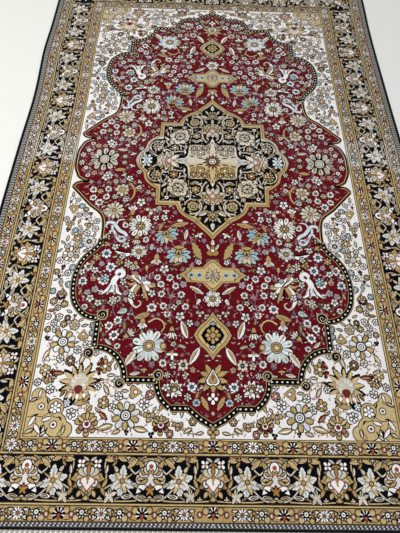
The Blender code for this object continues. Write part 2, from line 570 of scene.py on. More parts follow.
def motif(where, name, across, along, size, turn=0.0, copies=None):
    base, _, petal = name.partition(":")
    swaps = {"petal": petal} if petal else {}
    copies = copies or axisCopies(across, along)
    shade = 1 + pen["shadeSpread"] * (draw.random() - 0.5)
    for points, yarn, own in motifLayers(base, size, swaps):
        weave(where, turned(points, across, along, turn), yarn, copies, round(shade * own, 2))


def rowsOf(text):                       # a table's rows, below the line of column names
    return [line.split() for line in text.strip().splitlines()[1:]]


def readTable(text):                    # rows of a name and numbers
    return [(row[0], *map(float, row[1:])) for row in rowsOf(text)]


def pairsOf(spots):                     # "4,5" and "6,7" become (4, 5) and (6, 7)
    return [tuple(map(float, spot.split(","))) for spot in spots]


def motifTable(where, text):
    for name, *numbers in readTable(text):
        motif(where, name, *numbers)


def stem(where, yarn, width, points, last=None, belly=0.0, copies="four"):
    last = width if last is None else last
    weave(where, ribbon(curve(points), width, last, belly), yarn, copies)


def closed(quarter):                    # a quarter's path, mirrored into a closed outline
    q = np.asarray(quarter, float)
    parts = [q, (q * (1, -1))[::-1], q * (-1, -1), (q * (-1, 1))[::-1]]
    outline = np.concatenate(parts)
    keep = np.linalg.norm(outline - np.roll(outline, 1, 0), axis=1) > 0.05
    return outline[keep][::-1]


def rectangle(across, along):
    return np.array([(-across, -along), (across, -along), (across, along), (-across, along)], float)


# The red field's edge, a quarter of it from the far tip to the side
fieldOutline = {
    "tip": curve([(0, 1190), (22, 1178), (45, 1166), (68, 1149), (92, 1130)]),
    "shoulder": np.array([(92, 1130), (160, 1130)], float),
    "shoulderCurve": curve([(160, 1130), (176, 1118), (192, 1102), (206, 1078), (213, 1055),
                            (215, 1033)]),
    "shelf": np.array([(215, 1033), (338, 1033)], float),
    "hollow": arc((460, 1035), 122, 181, 274),
    "post": np.array([(467, 913), (467, 798)], float),
    "lobe": curve([(467, 798), (500, 794), (530, 780), (555, 757), (573, 730), (583, 695),
                   (587, 655), (585, 612), (575, 570), (560, 540), (540, 514), (516, 490),
                   (500, 466), (495, 440)]),
    "waist": curve([(495, 440), (495, 400), (498, 360), (507, 325), (527, 300), (552, 281),
                    (575, 262), (620, 215), (655, 178), (665, 165)]),
    "hookOuter": curve([(665, 165), (652, 146), (630, 137), (603, 134)]),
    "hookInner": curve([(603, 134), (628, 122), (647, 108), (658, 85), (668, 60), (672, 30),
                        (672, 0)]),
}
fieldEdge = closed(np.concatenate(list(fieldOutline.values())))


fieldBands = {                          # widths and yarns, the names of the parts they follow
    "thin": (((15, "straw"), (9, "black")), ("waist", "hookOuter", "hookInner")),
    "dotted": (((28, "black"), (24, "gold"), (19.5, "black")),
               ("tip", "shoulder", "shoulderCurve", "shelf", "hollow", "post", "lobe")),
}
bandDot = {"pitch": 20, "halfLength": 4.4, "width": 5.6}
volutes = [                             # across, along, radius, first angle, way round
    (210, 1013, 20, 90, 1),
    (355, 1046, 20, 180, 1),
    (487, 936, 22, 90, -1),
    (450, 784, 22, 0, 1),
]
volute = {"turn": 400, "points": 18, "reach": (0.62, 0.12), "width": (2.6, 2.0)}
hookTip = """
yarn width tip points
black 9 5 495,440 482,446 470,440 468,428
"""


def lineTable(where, text):             # stems, vines and lines, each from its width to its tip
    for yarn, width, tip, *spots in rowsOf(text):
        stem(where, yarn, float(width), pairsOf(spots), float(tip))


def drawVolute(across, along, radius, start, way):
    for size, yarn in ((radius + 1, "brown"), (radius, "straw"), (radius - 3.5, "black")):
        weave(seam, turned(blade("disc", -size, size, size * 2), across, along, 0), yarn, "four", 1.0)
    turn = np.radians(start + way * np.linspace(0, volute["turn"], volute["points"]))
    reach = np.linspace(*(radius * share for share in volute["reach"]), volute["points"])
    path = np.stack([across + reach * np.cos(turn), along + reach * np.sin(turn)], 1)
    weave(seam, ribbon(path, *volute["width"]), "cream", "four", 1.0)


def drawFieldEdge():
    dot = blade("disc", -bandDot["halfLength"], bandDot["halfLength"], bandDot["width"])
    for kind, (lines, parts) in fieldBands.items():
        for part in parts:
            path = fieldOutline[part]
            for width, yarn in lines:
                weave(seam, ribbon(path, width, width), yarn, "four", 1.0)
            if kind == "dotted":
                for spot, heading in zip(*alongPath(path, bandDot["pitch"])):
                    weave(seam, turned(dot, *spot, heading), "ivory")
    for row in volutes:
        drawVolute(*row)
    motif(seam, "four:gold", 0, 1208, 20)
    weave(seam, turned(blade("leaf", -22, 22, 15), 610, 135, 80), "black")
    lineTable(seam, hookTip)


# The medallion: its two gold outlines and the long panel in its middle
medallionOuter = [
    curve([(0, 435), (20, 410), (50, 380), (90, 342)]),
    curve([(90, 342), (120, 325), (150, 300), (165, 275), (172, 257)]),
    np.array([(172, 257), (268, 257), (270, 165)], float),
    curve([(270, 165), (287, 157), (310, 138), (328, 115), (335, 88), (340, 70)]),
    curve([(340, 70), (358, 53), (372, 30), (380, 0)]),
]
medallionInner = [
    curve([(0, 395), (20, 372), (50, 345), (75, 315)]),
    curve([(75, 315), (110, 305), (135, 285), (148, 255), (150, 232)]),
    np.array([(150, 232), (247, 232), (248, 140)], float),
    curve([(248, 140), (285, 135), (308, 112), (315, 85), (315, 60)]),
    curve([(315, 60), (335, 47), (346, 25), (352, 0)]),
]
centrePanel = [
    curve([(0, 150), (8, 136), (12, 120), (26, 106)]),
    np.array([(26, 106), (118, 105), (121, 60)], float),
    curve([(121, 60), (126, 34), (146, 16), (176, 9), (194, 0)]),
]

medallionMotifs = """
motif across along size turn
full:cream 0 206 52 0
full:cream 216 2 54 90
lobed:cream 166 160 48
leaf:sky 190 188 13 45
leaf:sky 138 136 13 45
sunburst:cream 0 0 46
goldFlower:gold 82 168 20
smallRing:brown 218 216 9
outlined:cream 146 222 13
lobed:gold 92 262 25
leaf:frost 62 262 14 0
full:straw 274 88 28 50
goldFlower:amber 190 84 20
leaf:ivory 234 144 17 45
leaf:frost 230 178 14 10
leaf:ivory 140 60 16 10
leaf:frost 134 84 12 -30
leaf:frost 152 8 24 90
bit:ivory 118 204 12 -40
bit:ivory 206 118 12 60
outlined:frost 326 12 26 90
leaf:ivory 342 40 14 0
leaf:ivory 42 300 24 60
bud:frost 0 366 20 0
full:straw 0 316 24 0
leaf:frost 0 270 18 0
leaf:frost 30 334 15 30
leaf:cream 36 268 14 30
leaf:gold 22 292 13 -40
leaf:cream 58 226 14 80
leaf:gold 66 334 18 40
leaf:gold 42 214 12 20
leaf:gold 250 40 15 20
leaf:cream 268 20 13 -40
four:gold 304 52 12
leaf:ivory 258 122 13 -30
leaf:gold 238 200 13 -20
leaf:ivory 136 280 13 20
leaf:cream 88 226 12 90
leaf:gold 212 50 12 10
leaf:cream 224 100 12 -10
leaf:gold 98 136 12 90
leaf:ivory 62 136 13 70
leaf:cream 26 150 13 30
"""

panelMotifs = """
motif across along size turn
goldFlower:gold 60 56 22
goldFlower:amber 92 82 16
goldFlower:amber 38 88 15
leaf:gold 98 54 17 20
leaf:gold 74 92 14 -60
leaf:cream 108 96 12 45
plainLeaf:brown 104 30 16 70
plainLeaf:brown 62 20 18 85
plainLeaf:brown 56 84 14 40
plainLeaf:brown 16 84 15 0
leaf:amber 24 62 14 30
leaf:straw 16 106 12 20
plainLeaf:brown 78 34 11 40
plainLeaf:cream 116 12 22 88
plainLeaf:tan 150 8 22 88
plainLeaf:brown 0 122 11 0
plainLeaf:ivory 0 140 12 0
plainLeaf:brown 40 44 12 -40
plainLeaf:brown 110 72 9 0
"""

medallionFill = """
left right near far size gap tries forms
6 350 6 390 6.5 1.6 1500 plainLeaf:cream plainLeaf:gold plainLeaf:ivory plainLeaf:tan
"""
panelFill = """
left right near far size gap tries forms
4 190 4 150 5 0.5 1200 plainLeaf:brown plainLeaf:tan plainLeaf:amber
"""
medallionStems = """
yarn width tip points
cream 6.5 4.5 0,300 30,284 60,298 84,316
cream 6.5 4.5 16,246 50,226 70,232
cream 6.5 4.5 242,62 252,98 242,130
cream 6.5 4.5 262,20 300,46 312,84
cream 6.5 4.5 122,30 150,60 196,56
cream 6.5 4.5 30,122 50,156 56,200
cream 6.5 4.5 56,200 44,222 16,250
cream 6.5 4.5 206,56 228,70 246,56
cream 6.5 4.5 108,226 104,196 108,172
cream 6.5 4.5 126,106 142,92 162,100
cream 6.5 4.5 212,104 228,112 236,134
cream 6.5 4.5 56,140 80,124 108,134
"""
medallionRings = [                      # middle, radius, first and last angle, width, tip
    ((92, 262), 40, 70, 350, 7, 5),
    ((276, 86), 38, -80, 130, 6, 4),
    ((190, 84), 30, 20, 200, 5, 4),
    ((82, 166), 32, 100, 280, 5, 4),
]
medallionLines = [                      # which outline, its size and its yarn, from the outside in
    ("outer", 1.008, "black"), ("outer", 1.0, "gold"), ("outer", 0.965, "brown"),
    ("outer", 0.955, "straw"), ("inner", 1.014, "brown"), ("inner", 1.0, "black"),
]
panelLines = [(1.10, "black"), (1.0, "cream"), (0.93, "straw"), (0.90, "gold"), (0.86, "straw")]


def drawMedallion():
    outlines = {"outer": closed(np.concatenate(medallionOuter)),
                "inner": closed(np.concatenate(medallionInner))}
    inner, panel = outlines["inner"], closed(np.concatenate(centrePanel))
    for name, size, yarn in medallionLines:
        weave(field, outlines[name] * size, yarn, "once", 1.0)
    square, middle = np.array([(114, 112), (218, 112), (218, 210), (114, 210)], float), (166, 161)
    weave(field, square, "gold")
    weave(field, (square - middle) * 0.93 + middle, "black")
    lineTable(field, medallionStems)
    for middle, radius, first, last, width, tip in medallionRings:
        stem(field, "cream", width, arc(middle, radius, first, last), tip)
    fillGaps(field, spotsOf(medallionMotifs) + [(0, 0, 60)],
             lambda x, v: isInside(x, v, inner) and not isInside(x, v, panel), medallionFill)
    for size, yarn in panelLines:
        weave(field, panel * size, yarn, "once", 1.0)
    fillGaps(field, spotsOf(panelMotifs) + [(0, 0, 46)], lambda x, v: isInside(x, v, panel * 0.9),
             panelFill)
    motifTable(field, panelMotifs)
    motifTable(field, medallionMotifs)


# Pendants stand on the long axis, between the medallion and the field's tip
pendantMotifs = """
motif across along size turn
star:gold 0 860 42 0
bit:sky 0 905 12 0
bit:sky 0 815 12 180
palmette:cream 0 605 32 0
beads:sky 58 604 15
beads:sky 93 604 14
rosette:pearl 0 708 35
goldFan:amber 0 488 30 180
bud:ivory 0 448 17 180
leaf:ivory 20 470 16 150
sawLeaf:gold 70 492 48 -24
blossom 66 540 14
blossom 60 545 13
feathers:sky 150 508 50 0
sawLeaf:gold 150 474 24 90
sawLeaf:tan 155 556 20 70
feathers:sky 208 412 48 -20
sawLeaf:gold 186 432 16 -70
leaf:gold 236 372 20 20
palmette:gold 0 1022 58 0
four:ivory 0 1096 20
sawLeaf:gold 30 1112 28 -30
beads:sky 62 1110 15
guardBud:pink 0 1146 9
"""

pendants = {"arm": 603, "lozenge": 860}     # where their middles lie along the rug
pendantShapes = {                       # a quarter of each outline
    "arm": np.array([(0, 74), (12, 70), (26, 56), (44, 36), (112, 32), (120, 16), (146, 0)], float),
    "lozenge": np.array([(0, 96), (10, 80), (28, 58), (50, 40), (64, 22), (76, 0)], float),
}
pendantLines = [(1.05, "black"), (1.0, "gold"), (0.84, "brown"), (0.80, "straw")]


def drawPendants():
    for name, quarter in pendantShapes.items():
        lines = pendantLines + ([(0.62, "black")] if name == "lozenge" else [])
        for size, yarn in lines:
            weave(field, closed(quarter) * size + (0, pendants[name]), yarn, "ends", 1.0)
    motifTable(field, pendantMotifs)


# Flowers, leaves and scrolls of the red field
fieldMotifs = """
motif across along size turn
bigRosette:cream 535 4 64
sawLeaf:gold 452 62 27 84
bit 395 35 15 20
bit 430 90 14 -30
bit 350 130 13 50
blossom 400 112 16
beads:pearl 505 100 22
rose:pink 625 65 14
rose:pink 575 85 16
rose:pink 600 32 13
bud:tan 460 140 20 30
beads 565 182 19
beads 495 176 18
ringFlower:cream 428 178 33
bit 310 190 13
blossom 335 245 22
beads:sky 405 228 15
beads 500 220 18
beads 560 226 18
beads 530 252 20
crown:cream 455 292 44 0
bell 370 290 26 180
trefoil:cream 285 287 24
bit 215 290 16
blossom 222 326 16
blossom 260 330 15
rosette:pearl 328 372 52
bud:gold 400 365 20 0
longLeaf:gold 150 360 42 78
petalCap 150 340 14 0
sawLeaf:pearl 120 410 26 10
bit 62 410 20 -30
tulip 340 440 26 0
beads 298 440 15
rosette:pearl 325 498 33
bud:sky 270 476 18 180
bit:gold 465 465 16 40
bit 425 470 16 0
beads:frost 465 511 23
bell:cream 245 535 28 0
bell:cream 335 565 22 0
beads:frost 440 575 22
beads:pearl 535 575 20
blossom:gold 405 550 17
bud:gold 285 575 16
blossom 210 580 20
beads:frost 550 640 20
beads:pearl 465 635 25
blossom:frost 293 625 10
beads 183 618 17
beads 157 655 16
beads 220 648 17
beads 132 692 16
beads 215 692 16
beads 113 744 16
beads 205 742 16
beads 236 618 15
beads 252 750 21
longLeaf:pearl 68 672 34 -60
bud:ivory 60 722 16 30
trefoil 53 770 15
blossom 135 785 19
leaf:gold 290 786 34 72
bell 285 816 24 0
bud:sky 370 768 24 70
beads:cream 395 716 14
blossom:cream 418 728 18
trefoil:tan 455 725 13
trefoil:tan 490 752 11
beads 385 805 18
beads 418 828 18
leaf:tan 355 830 18
tulip:pearl 338 862 26 -130
leaf:sky 366 850 10 20
beads:ivory 395 866 20
leaf:ivory 416 892 18 130
beads 378 908 13
leaf:tan 437 865 11
aster 253 905 57
mound:gold 196 905 13 -90
tulip:ivory 165 850 27 0
leaf:ivory 116 838 38 160
blossom 94 812 14
bit:ivory 160 935 22 0
leaf:cream 122 905 16 110
leaf:ivory 72 942 38 30
beads:cream 115 976 22
beads 195 970 16
sawLeaf:pearl 322 953 38 35
trefoil:gold 370 935 12
bit:gold 265 995 13
sawLeaf:pearl 300 1010 20 80
full:ivory 146 1066 33 160
beads:frost 80 1055 19
blossom:pearl 515 108 20
rose:pearl 620 55 12
beads:pearl 465 130 12
leaf:pink 490 140 11 -30
rose:mauve 545 140 12
leaf:lilac 600 165 13 60
beads:pearl 350 165 11
blossom:pearl 410 235 14
blossom:cream 305 188 12
beads:pearl 395 370 15
leaf:gold 375 335 14 30
blossom:pearl 385 470 16
blossom:pearl 430 480 15
outlined:cream 365 560 18
outlined:cream 345 575 14
blossom:pearl 395 525 13
outlined:gold 505 530 17
leaf:straw 520 560 14 40
blossom:pearl 505 590 15
rose:lilac 480 560 13
blossom:pearl 560 600 14
outlined:sky 458 625 19
rose:lilac 525 690 14
blossom:pearl 510 715 17
outlined:cream 415 720 18
blossom:pearl 475 735 15
leaf:straw 555 690 13 20
blossom:pearl 340 700 14
rose:lilac 365 690 12
blossom:pearl 380 640 14
blossom:pearl 255 690 15
spray:lilac 170 700 16 170
spray:lilac 90 560 14 60
spray:lilac 270 400 15 -40
spray:lilac 130 455 15 120
spray:lilac 205 480 13 60
spray:mauve 60 640 14 100
spray:mauve 430 420 15 20
spray:mauve 380 430 14 -20
spray:lilac 500 300 14 40
spray:lilac 560 330 12 0
blossom 178 1058 15
bit 40 1055 12 60
leaf:gold 60 1085 14 20
"""

fieldScrolls = """
yarn first last belly points
ivory 14 12 6 398,622 384,612 384,598 396,590 410,596 412,608
ivory 20 24 3 404,614 416,630 421,648 420,662
ivory 9 2 0 440,674 462,686 486,680
ivory 9 2 0 404,678 388,690 374,698
ivory 22 70 0 420,644 423,688
ivory 16 3 4 428,660 444,678 466,698
ivory 16 3 4 414,664 402,684 382,698
ivory 12 3 0 436,684 442,698
ivory 12 3 0 414,684 410,698
slate 2 2 0 398,608 402,602
slate 2 2 0 414,656 410,676 412,692
slate 2 2 0 426,656 434,676 440,692
gold 13 2 3 326,630 346,622 366,626
gold 14 2 3 324,646 346,652 364,644
gold 15 2 3 320,660 342,678 368,676
ivory 14 10 4 320,652 342,684 344,716 330,742
cream 9 3 0 334,738 318,750 302,742 300,728 312,722
gold 16 6 3 310,656 326,682 328,716
straw 15 3 3 288,650 268,658 246,660
ivory 15 3 3 290,656 270,676 244,692
gold 14 3 3 298,658 282,694 272,722
black 9 3 3 304,660 300,686 308,712
ivory 10 22 10 346,612 322,622 300,640
ivory 26 8 6 318,626 294,640 264,646
ivory 12 5 2 300,640 292,620 282,612
tan 3 2 0 330,618 312,632 296,650
gold 8 4 2 332,606 324,618 314,622
frost 12 14 3 484,362 466,355 446,362 434,380 418,398 396,410 384,426
frost 8 5 0 438,368 432,350 420,342 402,340
frost 8 4 0 476,362 484,374 476,384
frost 10 7 3 454,370 452,392 440,408 430,430 416,448 396,450 386,436
frost 7 5 0 424,438 412,428 398,430 394,440 404,446
frost 9 5 0 446,398 462,402 458,414
cream 4 8 0 462,410 480,424 494,452
ivory 3 3 12 356,504 380,516 428,500
black 4 8 0 350,520 362,506 420,496
gold 11 7 0 395,140 372,176 374,214 390,238
gold 6 9 0 342,152 360,162 372,182
gold 5 3 0 336,192 350,180 366,186
straw 7 4 0 262,812 232,796 206,806 196,830 208,850
cream 6 3 0 480,600 500,598 512,614 500,630
pearl 5 3 0 480,470 500,480 505,500
gold 7 4 0 120,610 118,590 100,575
"""

fieldStems = """
yarn width points
mauve 3 120,410 170,380 220,370 270,372 325,372
mauve 3 325,372 345,410 345,450 330,500
mauve 3 325,500 290,480 260,470 245,500 245,530
mauve 3 455,292 470,340 460,380 450,420
mauve 3 455,292 420,270 380,262 335,245
mauve 3 535,5 500,50 500,100 495,176
mauve 3 425,182 440,140 460,100 505,60 535,5
mauve 3 300,650 260,620 235,620
mauve 3 300,650 340,610 335,565
mauve 3 465,635 480,600 450,575 465,512
mauve 3 550,640 540,600 535,575
mauve 3 550,640 550,680 540,715 500,740 460,745 425,715
mauve 3 157,655 170,690 178,740 185,780 175,800
mauve 3 132,692 160,720 178,740 205,742
mauve 3 178,760 160,790 140,790
mauve 3 220,648 190,680 175,720
slate 4 335,755 320,790 290,830 285,816
slate 4 335,755 345,790 370,820 385,805
black 5 345,878 370,876 395,872
mauve 3 253,905 300,880 345,878
mauve 3 253,905 200,880 165,862 130,865 95,870
mauve 3 115,976 140,1020 142,1068
mauve 3 115,976 150,970 195,970
mauve 3 80,1055 100,1030 115,976
mauve 3 0,1022 40,1035 80,1055
mauve 3 215,290 285,290 300,330 325,372
mauve 3 150,512 180,460 215,408
mauve 3 330,720 390,725 410,760 385,805
mauve 3 440,575 405,550 335,565
"""


def scrollTable(where, text):           # tapering scrolls, each on a dark outline
    outline = 3.6
    for yarn, first, last, belly, *spots in rowsOf(text):
        points = pairsOf(spots)
        first, last, belly = float(first), float(last), float(belly)
        if yarn != "black":
            stem(where, "black", first + outline, points, last + outline, belly)
        stem(where, yarn, first, points, last, belly)


def stemTable(where, text, leafYarns):
    for yarn, width, *spots in rowsOf(text):
        points = pairsOf(spots)
        leafySprigs(where, curve(points), leafYarns, 11)
        stem(where, yarn, float(width), points)


# Small leaves grow along the stems, stems join near flowers, and small motifs fill what is open
def leafySprigs(where, path, leafYarns, size, pitch=15):
    spots, headings = alongPath(path, pitch)
    for i, (spot, heading) in enumerate(zip(spots, headings)):
        leaf = blade("leaf", 0.5, size * draw.uniform(0.8, 1.2), size * 0.45)
        way = 58 if i % 2 else -58
        weave(where, turned(leaf, *spot, heading + way), leafYarns[draw.randrange(len(leafYarns))])


def joinFlowers(where, spots, longest, yarn, width, leafYarns):
    joined = set()
    for i, (x, v, _) in enumerate(spots):
        gaps = sorted((math.hypot(x - a, v - b), j) for j, (a, b, _) in enumerate(spots) if j != i)
        for gap, j in gaps[:2]:
            pair = (min(i, j), max(i, j))
            if not 1 < gap < longest or pair in joined:
                continue
            joined.add(pair)
            (ax, ay), (bx, by) = spots[i][:2], spots[j][:2]
            bow = draw.uniform(0.12, 0.24) * draw.choice((-1, 1))
            middle = (ax + bx) / 2 + bow * (by - ay), (ay + by) / 2 - bow * (bx - ax)
            path = [(ax, ay), middle, (bx, by)]
            leafySprigs(where, curve(path), leafYarns, 10)
            stem(where, yarn, width, path)


def isInside(x, y, outline):
    x1, y1 = outline[:, 0], outline[:, 1]
    x2, y2 = np.roll(x1, -1), np.roll(y1, -1)
    crosses = (y1 > y) != (y2 > y)
    reach = x1 + (y - y1) / np.where(y2 == y1, 1e-9, y2 - y1) * (x2 - x1)
    return bool(np.count_nonzero(crosses & (x < reach)) % 2)


def nearOutline(x, y, outline, gap):
    return bool(np.min(np.hypot(outline[:, 0] - x, outline[:, 1] - y)) < gap)


filling = {"spread": (0.85, 1.15), "overlap": 0.9, "fromAxis": 2}


def fillGaps(where, spots, allowed, text):
    taken = np.array(spots, float)
    for left, right, near, far, radius, gap, tries, *forms in rowsOf(text):
        for _ in range(int(tries)):
            x = draw.uniform(float(left), float(right))
            v = draw.uniform(float(near), float(far))
            turn, pick = draw.uniform(0, 360), draw.randrange(len(forms))
            size = float(radius) * draw.uniform(*filling["spread"])
            room = np.hypot(taken[:, 0] - x, taken[:, 1] - v) - taken[:, 2] * filling["overlap"]
            if room.min() < size + float(gap) or min(x, v) < size + filling["fromAxis"]:
                continue
            if allowed(x, v):
                taken = np.vstack([taken, (x, v, size)])
                motif(where, forms[pick], x, v, size, turn)


fieldFill = """
left right near far size gap tries forms
8 670 8 1185 13.5 3.0 2200 blossom:cream outlined:cream rose:lilac beads:pearl four:cream \
    outlined:straw rose:mauve rose:pink
8 670 8 1185 10 2.5 3000 twin:lilac twin:cream sawLeaf:pink trefoil:straw twin:straw bit:cream \
    leaf:pearl spray:lilac spray:mauve spray:pink
8 670 8 1185 6 0.8 3500 plainLeaf:mauve plainLeaf:pearl plainLeaf:lilac plainLeaf:tan \
    plainLeaf:black
"""


def spotsOf(*tables):
    rows = [row for text in tables for row in readTable(text)]
    return [(row[1], row[2], row[3]) for row in rows]


fieldRoom = {                           # kept clear of small flowers: two edges and the scrolls
    "edge": 20,
    "medallion": 12,
    "scrolls": [(405, 620, 22), (425, 672, 30), (440, 370, 26), (410, 410, 24), (475, 390, 18),
                (380, 508, 16), (360, 185, 18), (375, 225, 14), (225, 815, 20), (322, 728, 18)],
}


def drawField():
    weave(field, rectangle(700, 1240), "crimson", "once", 1.0)
    medallion = closed(np.concatenate(medallionOuter))
    leafYarns = ("mauve", "lilac", "wine", "pearl", "black")
    spots = spotsOf(fieldMotifs, pendantMotifs)
    free = [s for s in spots if s[0] > 30]
    joinFlowers(field, free, 95, "mauve", 2.6, leafYarns)

    def openGround(x, v):
        return (isInside(x, v, fieldEdge) and not isInside(x, v, medallion)
                and not nearOutline(x, v, fieldEdge, fieldRoom["edge"])
                and not nearOutline(x, v, medallion, fieldRoom["medallion"])
                and not (x < 120 and abs(v - pendants["arm"]) < 45)
                and not abs(v - pendants["lozenge"]) < 95 - x)

    fillGaps(field, spots + fieldRoom["scrolls"], openGround, fieldFill)
    stemTable(field, fieldStems, leafYarns)
    scrollTable(field, fieldScrolls)
    motifTable(field, fieldMotifs)
    drawPendants()
    drawMedallion()


# Flowers and leaves of the ivory corners
cornerMotifs = """
motif across along size turn
eightPetal 592 895 47
ringFlower:cream 556 828 19
goldFlower:gold 600 825 13
ink:navy 640 820 12
goldFan:gold 516 865 22 180
clover 656 882 12
ink:brown 530 925 15
goldFlower:tan 551 967 19
inkLeaf:gold 506 958 24 20
ink:brown 592 958 15
inkLeaf:straw 648 945 20 30
roseCluster:brick 622 1024 25 160
goldFlower:straw 641 1002 20
sawLeaf:brick 590 1012 22 -90
sunPalmette 506 1046 58 180
sawLeaf:gold 490 1116 25 80
sawLeaf:gold 470 1100 15 40
goldFlower:gold 415 985 24
bit:brick 437 968 16 -60
bit:brick 440 1004 14 -120
ink:navy 610 1072 15
inkLeaf:gold 400 1070 20 -30
goldFlower:gold 405 1115 20
leaf:brick 562 1084 13 30
eightPetal 320 1156 45
goldFan:gold 290 1076 25 -90
ink:navy 255 1115 18
ink:black 352 1092 14
ink:black 520 1152 17
leaf:gold 456 1140 17 30
roseCluster:pink 458 1186 38 0
inkLeaf:gold 392 1196 28 76
inkLeaf:gold 262 1202 26 -80
sawLeaf:brick 402 1158 20 -50
roseCluster:brick 190 1186 30 0
trefoil:gold 236 1156 20
trefoil:gold 128 1186 19
inkLeaf:gold 92 1204 16 60
clover 312 1212 10
inkLeaf:gold 48 1212 13 80
bud:gold 192 1128 13 20
goldFan:gold 640 292 24 0
eightPetal 620 520 33
goldFlower:gold 600 440 20
aster 548 455 26
trefoil:gold 560 372 18
trefoil:gold 645 370 18
clover 560 312 11
clover 650 400 12
clover 642 580 12
clover 652 622 11
roseCluster:brick 630 705 20
leaf:sky 640 650 16
leaf:rust 660 770 14 90
goldFlower:gold 612 742 14
ink:navy 640 480 11
inkLeaf:gold 592 500 14 30
clover 575 342 10
ink:brown 610 322 11
sawLeaf:brick 630 340 13 20
inkLeaf:gold 655 210 13 0
clover 660 250 9
clover 560 790 9
"""

cornerStems = """
yarn width points
rust 2.4 590,895 570,930 552,970 530,1000 492,1050
pink 2.8 590,895 640,930 650,960 636,1008
tan 2.8 440,1036 400,1034 372,1038
rust 2.4 440,1046 400,1046 350,1080
pink 2.8 476,1000 474,960
tan 2.8 492,1050 470,1100 465,1150 462,1185
rust 2.4 462,1185 430,1150 405,1115 400,1065
pink 2.8 462,1185 400,1212 350,1200 320,1156
tan 2.8 320,1156 290,1120 265,1110 225,1155 190,1195
rust 2.4 190,1195 160,1190 130,1192 75,1200
pink 2.8 590,895 575,850 556,830
tan 2.8 500,880 530,892 560,892
rust 2.4 620,522 640,560 640,620 630,705 640,760 640,820
pink 2.8 620,522 600,480 600,440 640,400 645,370 630,330 640,290
tan 2.8 600,440 575,400 560,370 560,310
rust 2.4 640,290 655,250 650,215
"""

cornerLobes = [                         # gold lobes that round off the ground's corner
    (662, 1144, 34), (648, 1092, 24), (632, 1130, 34), (658, 1194, 40), (580, 1134, 30),
    (534, 1206, 24), (570, 1190, 38), (612, 1168, 24),
]


cornerLines = """
yarn width tip points
black 2.6 2.6 604,1104 608,1130 600,1150
black 2.6 2.6 600,1150 580,1164 552,1166
black 2.6 2.6 668,1112 650,1108 634,1098
black 2.6 2.6 600,1150 622,1164 650,1162 676,1166
black 2.6 2.6 622,1164 612,1190 622,1222
black 2.6 2.6 648,1162 640,1190 652,1222
black 2.6 2.6 544,1184 548,1204 560,1222
"""
cornerFill = """
left right near far size gap tries forms
480 670 150 860 13 2 4000 goldFlower:gold ink:brown goldFlower:tan inkLeaf:gold goldFlower:sky \
    ink:navy inkLeaf:tan
8 670 8 1222 14.5 3.5 9000 goldFlower:gold ink:navy inkLeaf:gold clover inkLeaf:tan trefoil:gold \
    goldFlower:pink inkLeaf:gold goldFlower:frost ink:black
8 670 8 1222 7.5 3.0 5000 plainLeaf:brown plainLeaf:gold plainLeaf:pink plainLeaf:black inkLeaf:gold
"""
cornerRoom = {"lobe": 7, "edge": 20, "across": 668, "along": 1219}

lobeMotifs = """
motif across along size turn
smallRing:brick 632 1130 10
goldFlower:ivory 580 1134 20
smallRing:brick 578 1190 11
inkLeaf:ivory 658 1180 20 30
inkLeaf:ivory 634 1204 20 -40
inkLeaf:gold 662 1212 16 60
inkLeaf:ivory 606 1172 17 70
inkLeaf:gold 540 1208 15 10
inkLeaf:tan 664 1108 14 60
plainLeaf:black 556 1170 12 -40
plainLeaf:black 646 1158 12 80
plainLeaf:black 600 1208 12 20
plainLeaf:black 620 1206 14 -10
plainLeaf:black 612 1112 12 -20
plainLeaf:black 600 1150 9 50
inkLeaf:ivory 644 1086 13 10
"""


def drawCorners():
    weave(corner, rectangle(700, 1240), "ivory", "once", 1.0)
    leafYarns = ("gold", "brown", "tan", "brown", "pink")
    lobes = np.array(cornerLobes, float)
    spots = spotsOf(cornerMotifs)
    joinFlowers(corner, spots, 90, "tan", 2.6, leafYarns)

    def openGround(x, v):
        room = np.hypot(lobes[:, 0] - x, lobes[:, 1] - v) - lobes[:, 2]
        return (not isInside(x, v, fieldEdge) and room.min() > cornerRoom["lobe"]
                and x < cornerRoom["across"] and v < cornerRoom["along"]
                and not nearOutline(x, v, fieldEdge, cornerRoom["edge"]))

    fillGaps(corner, spots, openGround, cornerFill)
    stemTable(corner, cornerStems, leafYarns)
    motifTable(corner, cornerMotifs)
    for grown, yarn in ((3.5, "black"), (0, "straw")):
        for x, v, radius in cornerLobes:
            weave(corner, arc((x, v), radius + grown, 0, 345, 23), yarn, "four", 1.0)
    lineTable(corner, cornerLines)
    motifTable(corner, lobeMotifs)


# Borders: what repeats is given by its place along the "run" and how far "inward" of its middle
def endSpot(run, inward, turn, middle):
    return run, middle - inward, 180 - turn


def sideSpot(run, inward, turn, middle):
    return middle - inward, run, turn - 90


mainUnit = """
motif run inward size turn
maple:pearl 118 -8 42 -123
bud:cream 94 27 12 -40
starBase:cream 78 -50 24 0
leaf:ivory 62 26 13 10
eye:ivory 138 -53 19 84
eye:cream 184 -53 18 94
eye:cream 108 -56 12 66
leaf:cream 166 -20 18 -70
plainLeaf:black 176 -4 14 20
leaf:straw 60 -14 14 28
leaf:gold 54 -36 15 -30
bit:cream 46 -60 9 0
sawLeaf:straw 74 56 22 84
leaf:gold 88 44 10 40
bit:pink 92 58 10 0
sawLeaf:straw 116 57 19 104
eye:ivory 176 57 17 84
sawLeaf:straw 150 44 22 50
sawLeaf:gold 182 38 20 -34
leaf:straw 196 56 13 70
bit:cream 134 62 9 180
leaf:straw 204 -62 11 84
"""

mainA = """
motif run inward size turn
palmetteA 0 -2 51 0
goldSpade 0 -58 13 0
four:ivory 28 43 15 45
four:ivory -28 43 15 45
disc1:rust 28 43 4 0
disc1:rust -28 43 4 0
leaf:ivory 13 57 11 60
leaf:ivory -13 57 11 -60
"""

